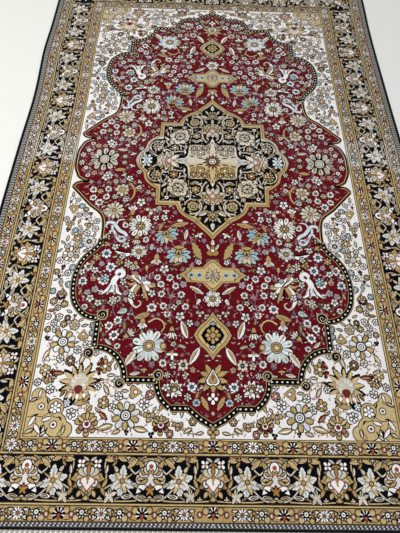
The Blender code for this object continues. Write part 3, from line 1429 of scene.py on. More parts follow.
mainB = """
motif run inward size turn
palmetteB 0 2 48 0
starBase:amber 0 -34 17 0
plainLeaf:black 30 -34 14 60
plainLeaf:black -30 -34 14 -60
"""

mainVines = """
yarn width points
gold 13 60,61 124,62
gold 20 136,56 166,50 198,58
black 13 214,60 204,54 190,40 176,24 160,14 148,22
cream 5 214,60 204,54 190,40 176,24 160,14 148,22
black 10 160,14 146,26 138,40
cream 4.5 160,14 146,26 138,40 142,54
straw 4.5 64,66 56,52 55,32 62,10 60,-14
cream 4.5 215,-53 202,-61 182,-63 160,-52 140,-34 120,-16
cream 4 96,-14 72,-24 50,-38
straw 3.5 14,-64 60,-66 130,-66 170,-64
"""

vineOverhang = 40                       # a vine may run this far past the limit of the flowers


def runTable(where, text, spot, middle, starts, limit, copies):
    for name, run, inward, size, turn in readTable(text):
        for start, way, stretch in starts:
            at = start + way * run * stretch
            if -limit <= at <= limit:
                across, along, heading = spot(at, inward, turn * way, middle)
                motif(where, name, across, along, size, heading, copies)


def runVines(where, text, spot, middle, starts, limit, copies):
    for yarn, width, *spots in rowsOf(text):
        points = pairsOf(spots)
        for start, way, stretch in starts:
            runs = [start + way * run * stretch for run, _ in points]
            if -limit - vineOverhang <= min(runs) and max(runs) <= limit + vineOverhang:
                path = [spot(run, inward, 0, middle)[:2] for run, (_, inward) in zip(runs, points)]
                stem(where, yarn, float(width), path, copies=copies)


def bothWays(starts, stretch):
    return [(start, way, stretch) for start in starts for way in (1, -1)]


def oneWay(starts):
    return [(start, 1, 1.0) for start in starts]


borderCorner = """
motif across along size turn
palmette:gold 818 1356 44 -135
bell:ivory 818 1356 30 -135
maple:frost 774 1384 24 -60
maple:frost 850 1312 24 150
goldFan:gold 772 1312 20 -135
inkLeaf:gold 764 1346 18 80
inkLeaf:gold 806 1300 18 10
inkLeaf:straw 858 1396 17 45
inkLeaf:straw 822 1408 15 100
inkLeaf:straw 872 1350 15 -10
goldFlower:cream 764 1410 10 0
goldFlower:cream 871 1298 10 0
"""

mainRuns = {                            # pitch and first start of the unit, its stretch and limit
    "ends": {"spot": endSpot, "middle": 1352.5, "pitch": 430, "starts": range(-2, 3), "first": 0,
             "stretch": 1.0, "limit": 745},
    "sides": {"spot": sideSpot, "middle": 814, "pitch": 460, "starts": range(-3, 4), "first": -60,
              "stretch": 1.038, "limit": 1285},
}
cornerVines = """
yarn width tip points
straw 4.0 4.0 768,1395 800,1410 850,1405 872,1370 868,1318
gold 3.6 3.6 760,1300 775,1330 800,1345
"""


def drawMainBorder():
    weave(mainBorder, rectangle(885, 1430), "navy", "once", 1.0)
    starts = {copies: [run["first"] + k * run["pitch"] for k in run["starts"]]
              for copies, run in mainRuns.items()}
    for draws, text in ((runVines, mainVines), (runTable, mainUnit)):
        for copies, run in mainRuns.items():
            draws(mainBorder, text, run["spot"], run["middle"],
                  bothWays(starts[copies], run["stretch"]), run["limit"], copies)
    for text, shift in ((mainA, 0), (mainB, 0.5)):
        for copies, run in mainRuns.items():
            shifted = [start + shift * run["pitch"] for start in starts[copies]]
            runTable(mainBorder, text, run["spot"], run["middle"], oneWay(shifted), run["limit"],
                     copies)
    lineTable(mainBorder, cornerVines)
    motifTable(mainBorder, borderCorner)


guardUnit = """
motif run inward size turn
mound:gold 25 10 12 0
mound:straw 60 -12 11 180
leaf:straw 64 10 14 70
fan 0 -2 20 0
guardBud:pink 44 -2 9 20
guardBud:rust 110 -9 8 -30
leaf:gold 112 9 13 60
mound:gold 98 -15 9 180
cupFlower 79 4 11.5 0
"""

guardMid = """
motif run inward size turn
guardRosette 0 0 17.5 0
bit:ivory 27 11 8 180
leaf:straw 29 -4 13 20
bit:ivory 24 -12 8 30
"""

guardVine = """
yarn width points
black 2.4 0,17 22,14 36,2 50,-12 66,-15 84,-10 104,14 122,-4 145,-17
brown 2.4 20,-17 40,-14 60,3 66,16
brown 2.4 90,17 100,4 118,-12 128,-16
"""

guards = {                              # pitch, places of the fans and of the rosettes, limit
    "inner": {
        "cloth": innerGuard,
        "middles": (1254.5, 714),
        "ends": (285, [285 * k for k in range(-3, 4)],
                 [142 + 285 * k for k in range(-3, 3)], 730),
        "sides": (300, [300 * k - 145 for k in range(-4, 6)],
                  [300 * k + 5 for k in range(-5, 6)], 1265),
    },
    "outer": {
        "cloth": outerGuard,
        "middles": (1454, 916.5),
        "ends": (275, [way * (237 + 275 * k) for way in (1, -1) for k in range(4)],
                 [way * (97 + 275 * k) for way in (1, -1) for k in range(4)], 930),
        "sides": (220, [220 * k - 135 for k in range(-7, 9)],
                  [220 * k - 25 for k in range(-7, 8)], 1465),
    },
}
guardUnitLength = 290                   # the run over which guardUnit is drawn
nearEndMiddle = """
motif across along size turn
fan 0 -1452 20 0
guardBud:pink 45 -1454 9 20
mound:gold 25 -1444 12 0
"""


def drawGuard(guard):
    where, middles = guard["cloth"], guard["middles"]
    for copies, spot, middle in (("ends", endSpot, middles[0]), ("sides", sideSpot, middles[1])):
        pitch, fans, rosettes, limit = guard[copies]
        fans, rosettes = (bothWays(starts, pitch / guardUnitLength) for starts in (fans, rosettes))
        runVines(where, guardVine, spot, middle, fans, limit, copies)
        runTable(where, guardUnit, spot, middle, fans, limit, copies)
        runTable(where, guardMid, spot, middle, rosettes, limit, copies)
    motif(where, "guardRosette", middles[1], middles[0], 18)


bandEdges = """
cloth across along yarn
outerGuardPile 970 1495 ash
outerGuardPile 941.5 1477.5 brown
outerGuardPile 938.5 1474.5 gold
outerGuardPile 894.5 1433.5 brown
outerGuardPile 891.0 1430.0 straw
outerGuardPile 886.0 1426.0 brown
outerGuardPile 883.0 1423.0 navy
innerGuardPile 760 1300 brown
innerGuardPile 745.5 1281.5 straw
innerGuardPile 741.0 1277.0 brown
innerGuardPile 737.0 1272.0 gold
innerGuardPile 690.5 1237.0 brown
innerGuardPile 687.0 1234.5 straw
innerGuardPile 681.5 1230.5 brown
"""


def drawBands():
    for cloth, across, along, yarn in rowsOf(bandEdges):
        weave((cloth,), rectangle(float(across), float(along)), yarn, "once", 1.0)


speckle = {                             # rows of pale and dark marks round the rug's edge
    "sides": {"rows": (947, 953.5, 960), "length": 1478, "step": 1},
    "ends": {"rows": (1481.5, 1487), "length": 940, "step": 2},
    "pitch": 7.2,
    "mark": (2.9, 2.5),                 # half lengths, along the row and over it
    "yarns": ("ivory", "navy", "frost", "navy"),
}


def drawSpeckle():
    long, high = speckle["mark"]
    mark = np.array([(-long, 0), (0, -high), (long, 0), (0, high)], float)
    for name in ("sides", "ends"):
        run = speckle[name]
        for row, place in enumerate(run["rows"]):
            for k in range(int(run["length"] / speckle["pitch"])):
                at = (k + 0.5 * (row % 2) + 0.3) * speckle["pitch"]
                shape = mark + (at, place) if name == "ends" else mark[:, ::-1][::-1] + (place, at)
                weave(outerGuard, shape, speckle["yarns"][(k + row * run["step"]) % 4])


drawField()
drawCorners()
drawFieldEdge()
drawBands()
drawSpeckle()
for guard in guards.values():
    drawGuard(guard)
motifTable(outerGuard, nearEndMiddle)
drawMainBorder()
print("design drawn:", {name: len(layers) for name, layers in cloths.items()})


# The design becomes closed slabs of pile
pileMesh = {                            # in design millimetres
    "edgeStep": 50,                     # longest edge of a cloth's outline
    "layerStep": 60,                    # and of a motif's, so that no triangle runs over two rows
    "mergedEdge": 52,                   # longest edge made by dropping a point
    "straight": 0.02,                   # a point this near the straight line is dropped
    "sameSpot": 0.01,                   # points nearer than this are one
    "sameSpotAgain": 0.005,
    "slack": 0.1,
}
bakeImage = {                           # how a cloth is laid out in the image of its bake map
    "walls": (0.022, 0.014, 0.003),     # heights of the walls' two rows, at the image's foot
    "underside": (0.028, 0.026),        # foot and height of the underside's strip
    "rows": 0.06,                       # foot of the pile's rows
    "end": 60,                          # spare length at a row's ends, in design millimetres
}


def stepped(outline, longest):          # an outline with its long edges divided
    points = []
    for a, b in zip(outline, np.roll(outline, -1, 0)):
        count = max(1, int(np.ceil(np.linalg.norm(b - a) / longest)))
        points += [a + (b - a) * i / count for i in range(count)]
    return np.array(points)


def triangulate(rings):
    spots, loops = [], []
    for ring in rings:
        loops.append(list(range(len(spots), len(spots) + len(ring))))
        spots.extend(Vector(p) for p in ring)
    points, _, faces, _, _, sources = delaunay_2d_cdt(spots, [], loops, 0, pileMesh["sameSpot"], True)
    return np.array([tuple(p) for p in points]), faces, sources


def boundary(faces):
    edges = {(f[i], f[(i + 1) % 3]) for f in faces for i in range(3)}
    after = {a: b for a, b in edges if (b, a) not in edges}
    loops = []
    while after:
        start, spot = after.popitem()
        loop = [start]
        while spot != start:
            loop.append(spot)
            spot = after.pop(spot)
        loops.append(loop)
    return loops


def seenEdges(faces, colours):          # edges between two colours, and the cloth's own edge
    faces = np.array(faces)
    starts = faces.ravel()
    ends = np.roll(faces, -1, 1).ravel()
    owner = np.repeat(np.array(colours), 3)
    low, high = np.minimum(starts, ends), np.maximum(starts, ends)
    order = np.lexsort((high, low))
    low, high, owner = low[order], high[order], owner[order]
    paired = np.zeros(len(low), bool)
    same = (low[1:] == low[:-1]) & (high[1:] == high[:-1])
    paired[1:] |= same
    paired[:-1] |= same
    differs = np.zeros(len(low), bool)
    differs[:-1] = same & (owner[1:] != owner[:-1])
    seen = ~paired | differs
    return np.stack([low[seen], high[seen]], 1)


def withoutFlatCorners(points, edges):  # drops a point where two edges run straight on
    joins = {}
    for a, b in edges.tolist():
        joins.setdefault(a, set()).add(b)
        joins.setdefault(b, set()).add(a)
    spots = points.tolist()
    for spot in list(joins):
        if len(joins[spot]) != 2:
            continue
        a, b = joins[spot]
        ax, ay = spots[a][0] - spots[spot][0], spots[a][1] - spots[spot][1]
        bx, by = spots[b][0] - spots[spot][0], spots[b][1] - spots[spot][1]
        long = math.hypot(ax, ay) + math.hypot(bx, by)
        bends = abs(ax * by - ay * bx) >= pileMesh["straight"] * long or ax * bx + ay * by >= 0
        if not bends and b not in joins[a] and long <= pileMesh["mergedEdge"]:
            joins[a].remove(spot)
            joins[b].remove(spot)
            joins[a].add(b)
            joins[b].add(a)
            del joins[spot]
    return [(a, b) for a, others in joins.items() for b in others if a < b]


def bakeMap(flat, tops, lows, loops, rows, gutter):
    # Lays the pile out in rows that fill the image, with the walls and the underside below them
    foot, end = bakeImage["rows"], bakeImage["end"]
    rows = np.array(rows, float)
    spans = rows[:, 2:] - rows[:, :2]
    tall = spans[:, 1] > spans[:, 0]
    lengths = np.where(tall, spans[:, 1], spans[:, 0])
    widths = np.where(tall, spans[:, 0], spans[:, 1]) + 2 * gutter
    starts = np.cumsum(widths) - widths
    corners = flat[np.array(tops)]
    middle = corners.mean(1)
    off = [np.maximum(0, np.maximum(row[:2] - middle, middle - row[2:])).sum(1) for row in rows]
    which = np.argmin(off, 0)
    upright = tall[which]
    run = np.where(upright[:, None], corners[:, :, 1], corners[:, :, 0])
    run -= rows[which, upright * 1][:, None] - end
    rise = np.where(upright[:, None], corners[:, :, 0], corners[:, :, 1])
    rise -= rows[which, 1 - upright * 1][:, None] - gutter - starts[which][:, None]
    top = np.stack([run / (lengths.max() + 2 * end), foot + (1 - foot) * rise / widths.sum()], 2)
    walls, count = [], sum(len(loop) for loop in loops)
    heights = bakeImage["walls"]
    for spot in range(count):
        a, b = spot / count, (spot + 1) / count
        for high, low in zip(heights, heights[1:]):
            walls += [(b, high), (a, high), (a, low), (b, low)]
    foot, height = bakeImage["underside"]
    under = flat[np.array(lows)].reshape(-1, 2) / (np.abs(flat).max(0) * 2.01) + 0.5
    return np.concatenate([top.reshape(-1, 2), np.array(walls), under * (1, height) + (0, foot)])


def topmostYarns(layers, outer, hole):  # triangles, and the yarn that is seen at each
    rings = [outer] + [stepped(points, pileMesh["layerStep"]) for points, _, _ in layers]
    rings += [] if hole is None else [hole]
    holeRing = -1 if hole is None else len(rings) - 1
    flat, faces, sources = triangulate(rings)
    lows = [tuple(ring.min(0) - pileMesh["slack"]) for ring in rings]
    highs = [tuple(ring.max(0) + pileMesh["slack"]) for ring in rings]
    kept, seen, codes = [], [], {}
    for (a, b, c), source in zip(faces, sources):
        if 0 not in source or holeRing in source:
            continue
        x, y = (flat[a] + flat[b] + flat[c]).tolist()
        x, y = x / 3, y / 3
        for topmost in sorted(source, reverse=True):    # the topmost motif that reaches this far
            low, high = lows[topmost], highs[topmost]
            if low[0] <= x <= high[0] and low[1] <= y <= high[1]:
                break
        kept.append((a, b, c))
        seen.append(codes.setdefault(layers[max(topmost, 1) - 1][1:], len(codes)))
    return flat, kept, seen, list(codes)


def fewerTriangles(flat, faces, seen):  # only the seen edges are cut into triangles again
    edges = withoutFlatCorners(flat, seenEdges(faces, seen))
    place = {old: new for new, old in enumerate(sorted({i for edge in edges for i in edge}))}
    old = list(place)
    loops = [[place[i] for i in loop if i in place] for loop in boundary(faces)]
    loops.sort(key=len, reverse=True)
    reach = [np.ptp(flat[[old[i] for i in loop]], 0).sum() for loop in loops]
    outside = reach.index(max(reach))
    loops = [loop if k == outside else loop[::-1] for k, loop in enumerate(loops)]
    spots, _, merged, _, _, sources = delaunay_2d_cdt(
        [Vector(flat[i]) for i in old], [(place[a], place[b]) for a, b in edges], loops, 0,
        pileMesh["sameSpotAgain"], True)
    tree = BVHTree.FromPolygons([(x, y, 0) for x, y in flat], faces)
    merged = [tuple(face) for face, source in zip(merged, sources) if source == [outside]]
    points = np.array([tuple(p) for p in spots])
    seen = [seen[tree.find_nearest((x, y, 0))[2]] for x, y in points[np.array(merged)].mean(1)]
    used = np.unique(np.array(merged))
    renumber = {old: new for new, old in enumerate(used)}
    return points[used], [tuple(renumber[i] for i in face) for face in merged], seen


def closeSlab(flat, top, loops):        # walls down from the pile's edges, and an underside
    limits = np.array([rug["halfAcross"], rug["halfAlong"]]) - pileMesh["slack"]
    outward = np.where(np.abs(flat) > limits, np.sign(flat), 0)
    high, rim = rug["high"][2], rug["rim"]
    points = [(x, y, high) for x, y in top]
    walls, below = [], []
    for loop in loops:
        ring = []
        for spot in loop:
            x, y = top[spot] + outward[spot] * rim
            ring.append(len(points))
            points += [(x, y, high - rim), (x, y, 0.0)]
        for i, spot in enumerate(loop):
            after = (i + 1) % len(loop)
            walls.append((loop[after], spot, ring[i], ring[after]))
            walls.append((ring[after], ring[i], ring[i] + 1, ring[after] + 1))
        below.append([r + 1 for r in ring])
    lowRings = [np.array([points[i][:2] for i in ring]) / mm for ring in below]
    outside = int(np.argmax([abs(twiceArea(ring)) for ring in lowRings]))
    starts = np.cumsum([0] + [len(ring) for ring in lowRings])
    rings = [list(range(a, b)) for a, b in zip(starts, starts[1:])]
    rings = [ring if k == outside else ring[::-1] for k, ring in enumerate(rings)]
    _, _, faces, spots, _, sources = delaunay_2d_cdt(
        [Vector(p) for ring in lowRings for p in ring], [], rings, 0, 0.0001, True)
    order = [i for ring in below for i in ring]
    faces = [tuple(order[spots[i][0]] for i in face)[::-1]
             for face, source in zip(faces, sources) if source == [outside]]
    over = {point: spot for loop, ring in zip(loops, below) for spot, point in zip(loop, ring)}
    return points, walls, faces, [[over[point] for point in face] for face in faces]


def makePile(name, cloth, outer, hole, rows, gutter):
    reach = outer.max(0) + 1, outer.min(0) - 1
    layers = [layer for layer in cloths[cloth] if (layer[0].min(0) < reach[0]).all()
              and (layer[0].max(0) > reach[1]).all()]
    flat, faces, seen, keys = topmostYarns(layers, outer, hole)
    flat, faces, seen = fewerTriangles(flat, faces, seen)
    top, loops = onFloor(flat), boundary(faces)
    points, walls, underside, lows = closeSlab(flat, top, loops)
    ground = (layers[0][1], 1.0)
    paint = [keys[code] for code in seen] + [ground] * (len(walls) + len(underside))

    mesh = bpy.data.meshes.new(name)
    mesh.from_pydata(points, [], faces + walls + underside)
    mesh.update()
    dyes = {key: [c * key[1] for c in linearFromHex(yarns[key[0]][0])] + [yarns[key[0]][1]]
            for key in set(paint)}
    counts = [len(face) for face in faces + walls + underside]
    dyed = np.repeat(np.array([dyes[key] for key in paint], np.float32), counts, 0)
    mesh.color_attributes.new("yarn", "FLOAT_COLOR", "CORNER").data.foreach_set("color", dyed.ravel())
    places = bakeMap(flat, faces, lows, loops, rows, gutter).astype(np.float32)
    mesh.uv_layers.new(name="OFBake").data.foreach_set("uv", places.ravel())
    mesh.materials.append(pileWool)
    piece = bpy.data.objects.new(name, mesh)
    bpy.context.collection.objects.link(piece)
    area = 0.5 * np.linalg.det(np.diff(top[np.array(faces)], axis=1)).sum()
    print(name, "layers", len(layers), "faces", len(mesh.polygons), "area", round(area, 4))
    return piece, area


# Materials
def addNode(tree, kind, settings=None, inputs=None, links=None):
    node = tree.nodes.new(kind)
    for key, value in (settings or {}).items():
        setattr(node, key, value)
    for key, value in (inputs or {}).items():
        node.inputs[key].default_value = value
    for key, source in (links or {}).items():
        tree.links.new(source, node.inputs[key])
    return node


def newMaterial(name):
    material = bpy.data.materials.new(name)
    material.use_nodes = True
    return material, material.node_tree, material.node_tree.nodes["Principled BSDF"]


def finish(tree, shader, tint, bump, look):
    tree.links.new(tint.outputs["Color"], shader.inputs["Base Color"])
    tree.links.new(bump.outputs[0], shader.inputs["Normal"])
    for socket, value in (("Roughness", "roughness"), ("Specular IOR Level", "specular"),
                          ("Sheen Weight", "sheen")):
        shader.inputs[socket].default_value = look[value]


def bandAcross(tree, along, low, high, soft):   # 1 between two places along the rug, 0 beyond
    rise = addNode(tree, "ShaderNodeMapRange", {"interpolation_type": "SMOOTHSTEP"},
                   {"From Min": low - soft, "From Max": low + soft}, {"Value": along})
    fall = addNode(tree, "ShaderNodeMapRange", {"interpolation_type": "SMOOTHSTEP"},
                   {"From Min": high - soft, "From Max": high + soft, "To Min": 1, "To Max": 0},
                   {"Value": along})
    return addNode(tree, "ShaderNodeMath", {"operation": "MULTIPLY"},
                   links={0: rise.outputs[0], 1: fall.outputs[0]}).outputs[0]


pileLook = {
    "knot": 0.0042,                     # drawn as tufts of a few knots: the real ones are near 1 mm
    "knotShade": (0.70, 1.24),
    "knotUneven": 0.75,
    "calm": 0.72,                       # how much less pale wool shows its knots
    "tuftRelief": (0.3, 0.001),         # strength and depth
    "row": 0.0065,                      # beat of the weft rows, a few picks to each
    "rowShade": (0.95, 1.05),
    "waveLength": 0.31416,              # what a wave texture of scale 1 repeats at
    "dyeAndNapPatch": 0.55,                   # slow drift of the dye over the rug, with painted nap shading in the same slow patches
    "dyeAndNapShade": (0.90, 1.08),
    "greyBand": (0.015, 0.190, 0.022),  # where a greyer dye lot runs across, and how softly
    "greyLot": (0.46, 1.16),            # its saturation and value
    "farShadeBand": (0.19, 2.0, 0.03),       # and the painted shade of the far half: duller, as the light falls off towards the far end
    "farShade": (0.88, 0.93),
    "bandWander": 0.05,                 # how far a dye lot's edge wanders
    "wandersPerMetre": 7.0,
    "roughness": 0.86,
    "specular": 0.04,
    "sheen": 0.02,
}


def knottedWool():                      # hand-knotted wool pile, clipped: matt, each knot a soft tuft
    material, tree, shader = newMaterial("Hand-knotted wool pile")
    look = pileLook
    place = addNode(tree, "ShaderNodeTexCoord").outputs["Object"]
    along = addNode(tree, "ShaderNodeSeparateXYZ", links={0: place}).outputs["Y"]
    yarn = addNode(tree, "ShaderNodeAttribute", {"attribute_name": "yarn"})
    streak = addNode(tree, "ShaderNodeTexNoise", {},
                     {"Scale": look["wandersPerMetre"], "Detail": 3.0}, {"Vector": place})
    wavy = addNode(tree, "ShaderNodeMath", {"operation": "MULTIPLY_ADD"},
                   {1: look["bandWander"], 2: -look["bandWander"] / 2}, {0: streak.outputs[0]})
    wavyAlong = addNode(tree, "ShaderNodeMath", {"operation": "ADD"},
                        links={0: along, 1: wavy.outputs[0]}).outputs[0]
    # Each dye lot, and the painted shade of the far half, takes a yarn as far as the yarn's fourth
    # value says
    dyed = yarn.outputs["Color"]
    for band, recolour in (("greyBand", "greyLot"), ("farShadeBand", "farShade")):
        inBand = bandAcross(tree, wavyAlong, *look[band])
        share = addNode(tree, "ShaderNodeMath", {"operation": "MULTIPLY"},
                        links={0: inBand, 1: yarn.outputs["Alpha"]}).outputs[0]
        dyed = addNode(tree, "ShaderNodeHueSaturation", {},
                       {"Saturation": look[recolour][0], "Value": look[recolour][1]},
                       {"Color": dyed, "Fac": share}).outputs[0]
    # dyed now also holds the painted shade of the far half
    knots = addNode(tree, "ShaderNodeTexVoronoi", {"feature": "F1"},
                    {"Scale": 1 / look["knot"], "Randomness": look["knotUneven"]},
                    {"Vector": place})
    grain = addNode(tree, "ShaderNodeSeparateColor", links={"Color": knots.outputs["Color"]})
    rows = addNode(tree, "ShaderNodeTexWave", {"bands_direction": "Y"},
                   {"Scale": look["waveLength"] / look["row"], "Distortion": 1.5,
                    "Detail Scale": 40.0}, {"Vector": place})
    # Slow patches: partly dye drift, partly painted shade of the pile's nap
    patch = addNode(tree, "ShaderNodeTexNoise", {},
                    {"Scale": 1 / look["dyeAndNapPatch"], "Detail": 4.0, "Roughness": 0.6},
                    {"Vector": place})
    shades = []
    for source, low, high, shade in ((grain.outputs[0], 0.0, 1.0, "knotShade"),
                                     (rows.outputs["Fac"], 0.0, 1.0, "rowShade"),
                                     (patch.outputs[0], 0.3, 0.7, "dyeAndNapShade")):
        shades.append(addNode(tree, "ShaderNodeMapRange", {},
                              {"From Min": low, "From Max": high, "To Min": look[shade][0],
                               "To Max": look[shade][1]}, {"Value": source}).outputs[0])
    shade = shades[0]
    for other in shades[1:]:
        shade = addNode(tree, "ShaderNodeMath", {"operation": "MULTIPLY"},
                        links={0: shade, 1: other}).outputs[0]
    # Pale wool shows its knots less than dark wool does
    pale = addNode(tree, "ShaderNodeSeparateColor", {"mode": "HSV"}, {}, {"Color": dyed})
    calm = addNode(tree, "ShaderNodeMath", {"operation": "MULTIPLY_ADD"},
                   {1: -look["calm"], 2: 1.0}, {0: pale.outputs[2]}).outputs[0]
    grainOff = addNode(tree, "ShaderNodeMath", {"operation": "SUBTRACT"}, {1: 1.0}, {0: shade})
    shade = addNode(tree, "ShaderNodeMath", {"operation": "MULTIPLY_ADD"}, {2: 1.0},
                    {0: grainOff.outputs[0], 1: calm}).outputs[0]
    tint = addNode(tree, "ShaderNodeHueSaturation", {}, {}, {"Color": dyed, "Value": shade})
    strength, depth = look["tuftRelief"]
    bump = addNode(tree, "ShaderNodeBump", {"invert": True},
                   {"Strength": strength, "Distance": depth}, {"Height": knots.outputs["Distance"]})
    finish(tree, shader, tint, bump, look)
    return material


yarnLook = {                            # what spun yarns share
    "fibresPerMetre": 900.0,            # drawn coarser than wool fibres are, so that they show
    "fibreDepth": 0.0006,
    "wearPerMetre": 9.0,
    "worn": (0.52, 0.75),               # where the noise of wear starts and is full
    "fade": 0.7,                        # saturation left where the yarn is worn
    "specular": 0.06,
    "sheen": 0.03,
}
edgeYarns = {                           # the size of a turn or pick along each axis, and its shades
    "overcast": {"name": "Overcast navy wool", "colour": "#101015", "grain": (0.03, 0.005, 0.03),
                 "shades": (0.5, 1.6), "relief": 0.5, "roughness": 0.85},
    "endWeave": {"name": "Flat-woven navy wool", "colour": "#14151d",
                 "grain": (0.003, 0.0025, 0.003), "shades": (0.5, 1.7), "relief": 0.5,
                 "roughness": 0.88},
    "fringe": {"name": "Undyed cotton warp", "colour": "#cdc5b4",
               "grain": (0.0012, 0.02, 0.0012), "shades": (0.7, 1.2), "relief": 0.4,
               "roughness": 0.9},
}


def spunYarn(yarn):
    # Spun yarn, wrapped, woven or left loose: matt, lighter and darker from one turn to the next
    material, tree, shader = newMaterial(yarn["name"])
    place = addNode(tree, "ShaderNodeTexCoord").outputs["Object"]
    sized = addNode(tree, "ShaderNodeMapping", {"vector_type": "POINT"},
                    {"Scale": [1 / g for g in yarn["grain"]]}, {"Vector": place}).outputs[0]
    turns = addNode(tree, "ShaderNodeTexNoise", {}, {"Scale": 1.0, "Detail": 3.0, "Roughness": 0.7},
                    {"Vector": sized})
    shade = addNode(tree, "ShaderNodeMapRange", {},
                    {"From Min": 0.3, "From Max": 0.7, "To Min": yarn["shades"][0],
                     "To Max": yarn["shades"][1]}, {"Value": turns.outputs[0]})
    worn = addNode(tree, "ShaderNodeTexNoise", {},
                   {"Scale": yarnLook["wearPerMetre"], "Detail": 4.0}, {"Vector": place})
    faded = addNode(tree, "ShaderNodeMapRange", {},
                    {"From Min": yarnLook["worn"][0], "From Max": yarnLook["worn"][1],
                     "To Min": 1.0, "To Max": yarnLook["fade"]}, {"Value": worn.outputs[0]})
    tint = addNode(tree, "ShaderNodeHueSaturation", {},
                   {"Color": (*linearFromHex(yarn["colour"]), 1)},
                   {"Value": shade.outputs[0], "Saturation": faded.outputs[0]})
    fibres = addNode(tree, "ShaderNodeTexNoise", {},
                     {"Scale": yarnLook["fibresPerMetre"], "Detail": 2.0}, {"Vector": place})
    bump = addNode(tree, "ShaderNodeBump", {},
                   {"Strength": yarn["relief"], "Distance": yarnLook["fibreDepth"]},
                   {"Height": fibres.outputs[0]})
    finish(tree, shader, tint, bump, {**yarnLook, **yarn})
    return material


edgeWools = {part: spunYarn(yarn) for part, yarn in edgeYarns.items()}
pileWool = knottedWool()
print("materials made:", [material.name for material in (pileWool, *edgeWools.values())])


overcast = {                            # dark wool wrapped over the long sides
    "length": 3.0,
    "middle": 0.973,
    "width": 0.0136,
    "height": 0.0073,
    "wrap": 0.0050,                     # one bundle of wraps, drawn coarser than the real 2.5 mm
    "groove": 0.86,
    "slant": 0.0022,
    "sides": 10,
    "wanderAt": 0.98,                   # the place across whose wander the whole side takes
}
flatWeave = {                           # plain-woven strip that closes the pile at an end
    "middle": 1.496,
    "width": 0.0078,
    "height": 0.0040,
    "dip": 0.0008,                      # between its cords
    "cords": 3,
    "stations": 120,
}
warpFringe = {
    "locks": 116,
    "width": 1.9314,
    "rootInner": 1.5003,
    "rootOuter": 1.5053,
    "lockLength": 0.038,
    "lengthSpread": 0.004,
    "rootShare": 0.55,                  # of the pitch between locks
    "tipShare": 0.22,
    "sway": 0.005,
    "swayStep": 0.37,
    "strands": 5,
    "strandRadius": 0.0009,
    "strandTaper": 0.45,
    "strandReach": (0.80, 1.0),         # its share of its lock's length
    "strandShares": (0.0, 0.3, 0.65, 1.0),
    "strandBow": 0.0012,
    "bunch": 0.85,                      # how closely a lock's strands lie
    "lift": 0.0008,                     # of the upper strands, at the root
    "overFloor": 0.0002,
    "knotHeight": 0.0034,
    "knotWidth": 0.40,                  # half of it, as a share of the pitch
    "knotRings": ((-0.1, 0.45), (0.25, 1.0), (0.7, 0.95), (1.15, 0.5)),
    "knotSides": 6,
    "seed": 7,                          # as in the solids
    "strandSeed": 31,
}


def meshPiece(name, points, faces, node, slot, wool):
    mesh = bpy.data.meshes.new(name)
    mesh.from_pydata([tuple(p) for p in points], [], faces)
    mesh.update()
    mesh.shade_smooth()
    piece = bpy.data.objects.new(name, mesh)
    bpy.context.collection.objects.link(piece)
    mesh.materials.append(wool)
    bpy.ops.object.select_all(action="DESELECT")
    bpy.context.view_layer.objects.active = piece
    piece.select_set(True)
    bpy.ops.object.mode_set(mode="EDIT")
    bpy.ops.mesh.select_all(action="SELECT")
    bpy.ops.mesh.normals_make_consistent(inside=False)
    bpy.ops.object.mode_set(mode="OBJECT")
    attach(piece, "root")
    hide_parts(node)
    print(name, "faces", len(faces))
    return piece


def tube(rings, points, faces):         # closes a row of rings into a tube with capped ends
    first, count = len(points), len(rings[0])
    for ring in rings:
        points.extend(ring)
    for row in range(len(rings) - 1):
        for i in range(count):
            a, b = first + row * count + i, first + row * count + (i + 1) % count
            faces.append((a, b, b + count, a + count))
    faces.append(tuple(range(first, first + count))[::-1])
    faces.append(tuple(range(len(points) - count, len(points))))


def wrapSide(side):
    rows = round(overcast["length"] / overcast["wrap"]) * 2
    turns = np.arange(overcast["sides"]) * 2 * math.pi / overcast["sides"]
    rings = []
    for row in range(rows + 1):
        y = -overcast["length"] / 2 + overcast["length"] * row / rows
        swell = overcast["groove"] if row % 2 == 0 else 1.0
        across = np.cos(turns) * overcast["width"] / 2 * swell
        up = (np.sin(turns) * swell + 1) * overcast["height"] / 2
        slanted = y + overcast["slant"] * np.cos(turns) * (0 < row < rows)
        shift = sideShift(np.full_like(slanted, side * overcast["wanderAt"]), slanted)
        rings.append(np.stack([side * overcast["middle"] + shift + across, slanted, up], 1))
    points, faces = [], []
    tube(rings, points, faces)
    return points, faces


def weaveEnd(end):
    half = warpFringe["width"] / 2
    rows = flatWeave["cords"] * 2
    profile = [(-flatWeave["width"] / 2, 0.0)]
    for i in range(rows + 1):
        rise = flatWeave["height"] - (flatWeave["dip"] if i % 2 == 0 else 0.0)
        profile.append((flatWeave["width"] * (i / rows - 0.5), rise))
    profile.append((flatWeave["width"] / 2, 0.0))
    rings = []
    for x in np.linspace(-half, half, flatWeave["stations"] + 1):
        y = [end * flatWeave["middle"] + p[0] for p in profile]
        shift = sideShift(np.full(len(y), x), np.array(y))
        rings.append([(x + s, b, p[1]) for s, b, p in zip(shift, y, profile)])
    points, faces = [], []
    tube(rings, points, faces)
    return points, faces


def rootKnot(x, end, pitch):            # the small knot that gathers a lock at its root
    rings = []
    for share, size in warpFringe["knotRings"]:
        depth = warpFringe["rootOuter"] - warpFringe["rootInner"]
        y = end * (warpFringe["rootInner"] + depth * max(share, 0.0))
        ring = []
        for turn in np.arange(warpFringe["knotSides"]) * 2 * math.pi / warpFringe["knotSides"]:
            up = max(0.0, (math.sin(turn) + 0.8) / 1.8) * warpFringe["knotHeight"] * size
            ring.append((x + math.cos(turn) * pitch * warpFringe["knotWidth"] * size, y, up))
        rings.append(ring)
    return rings


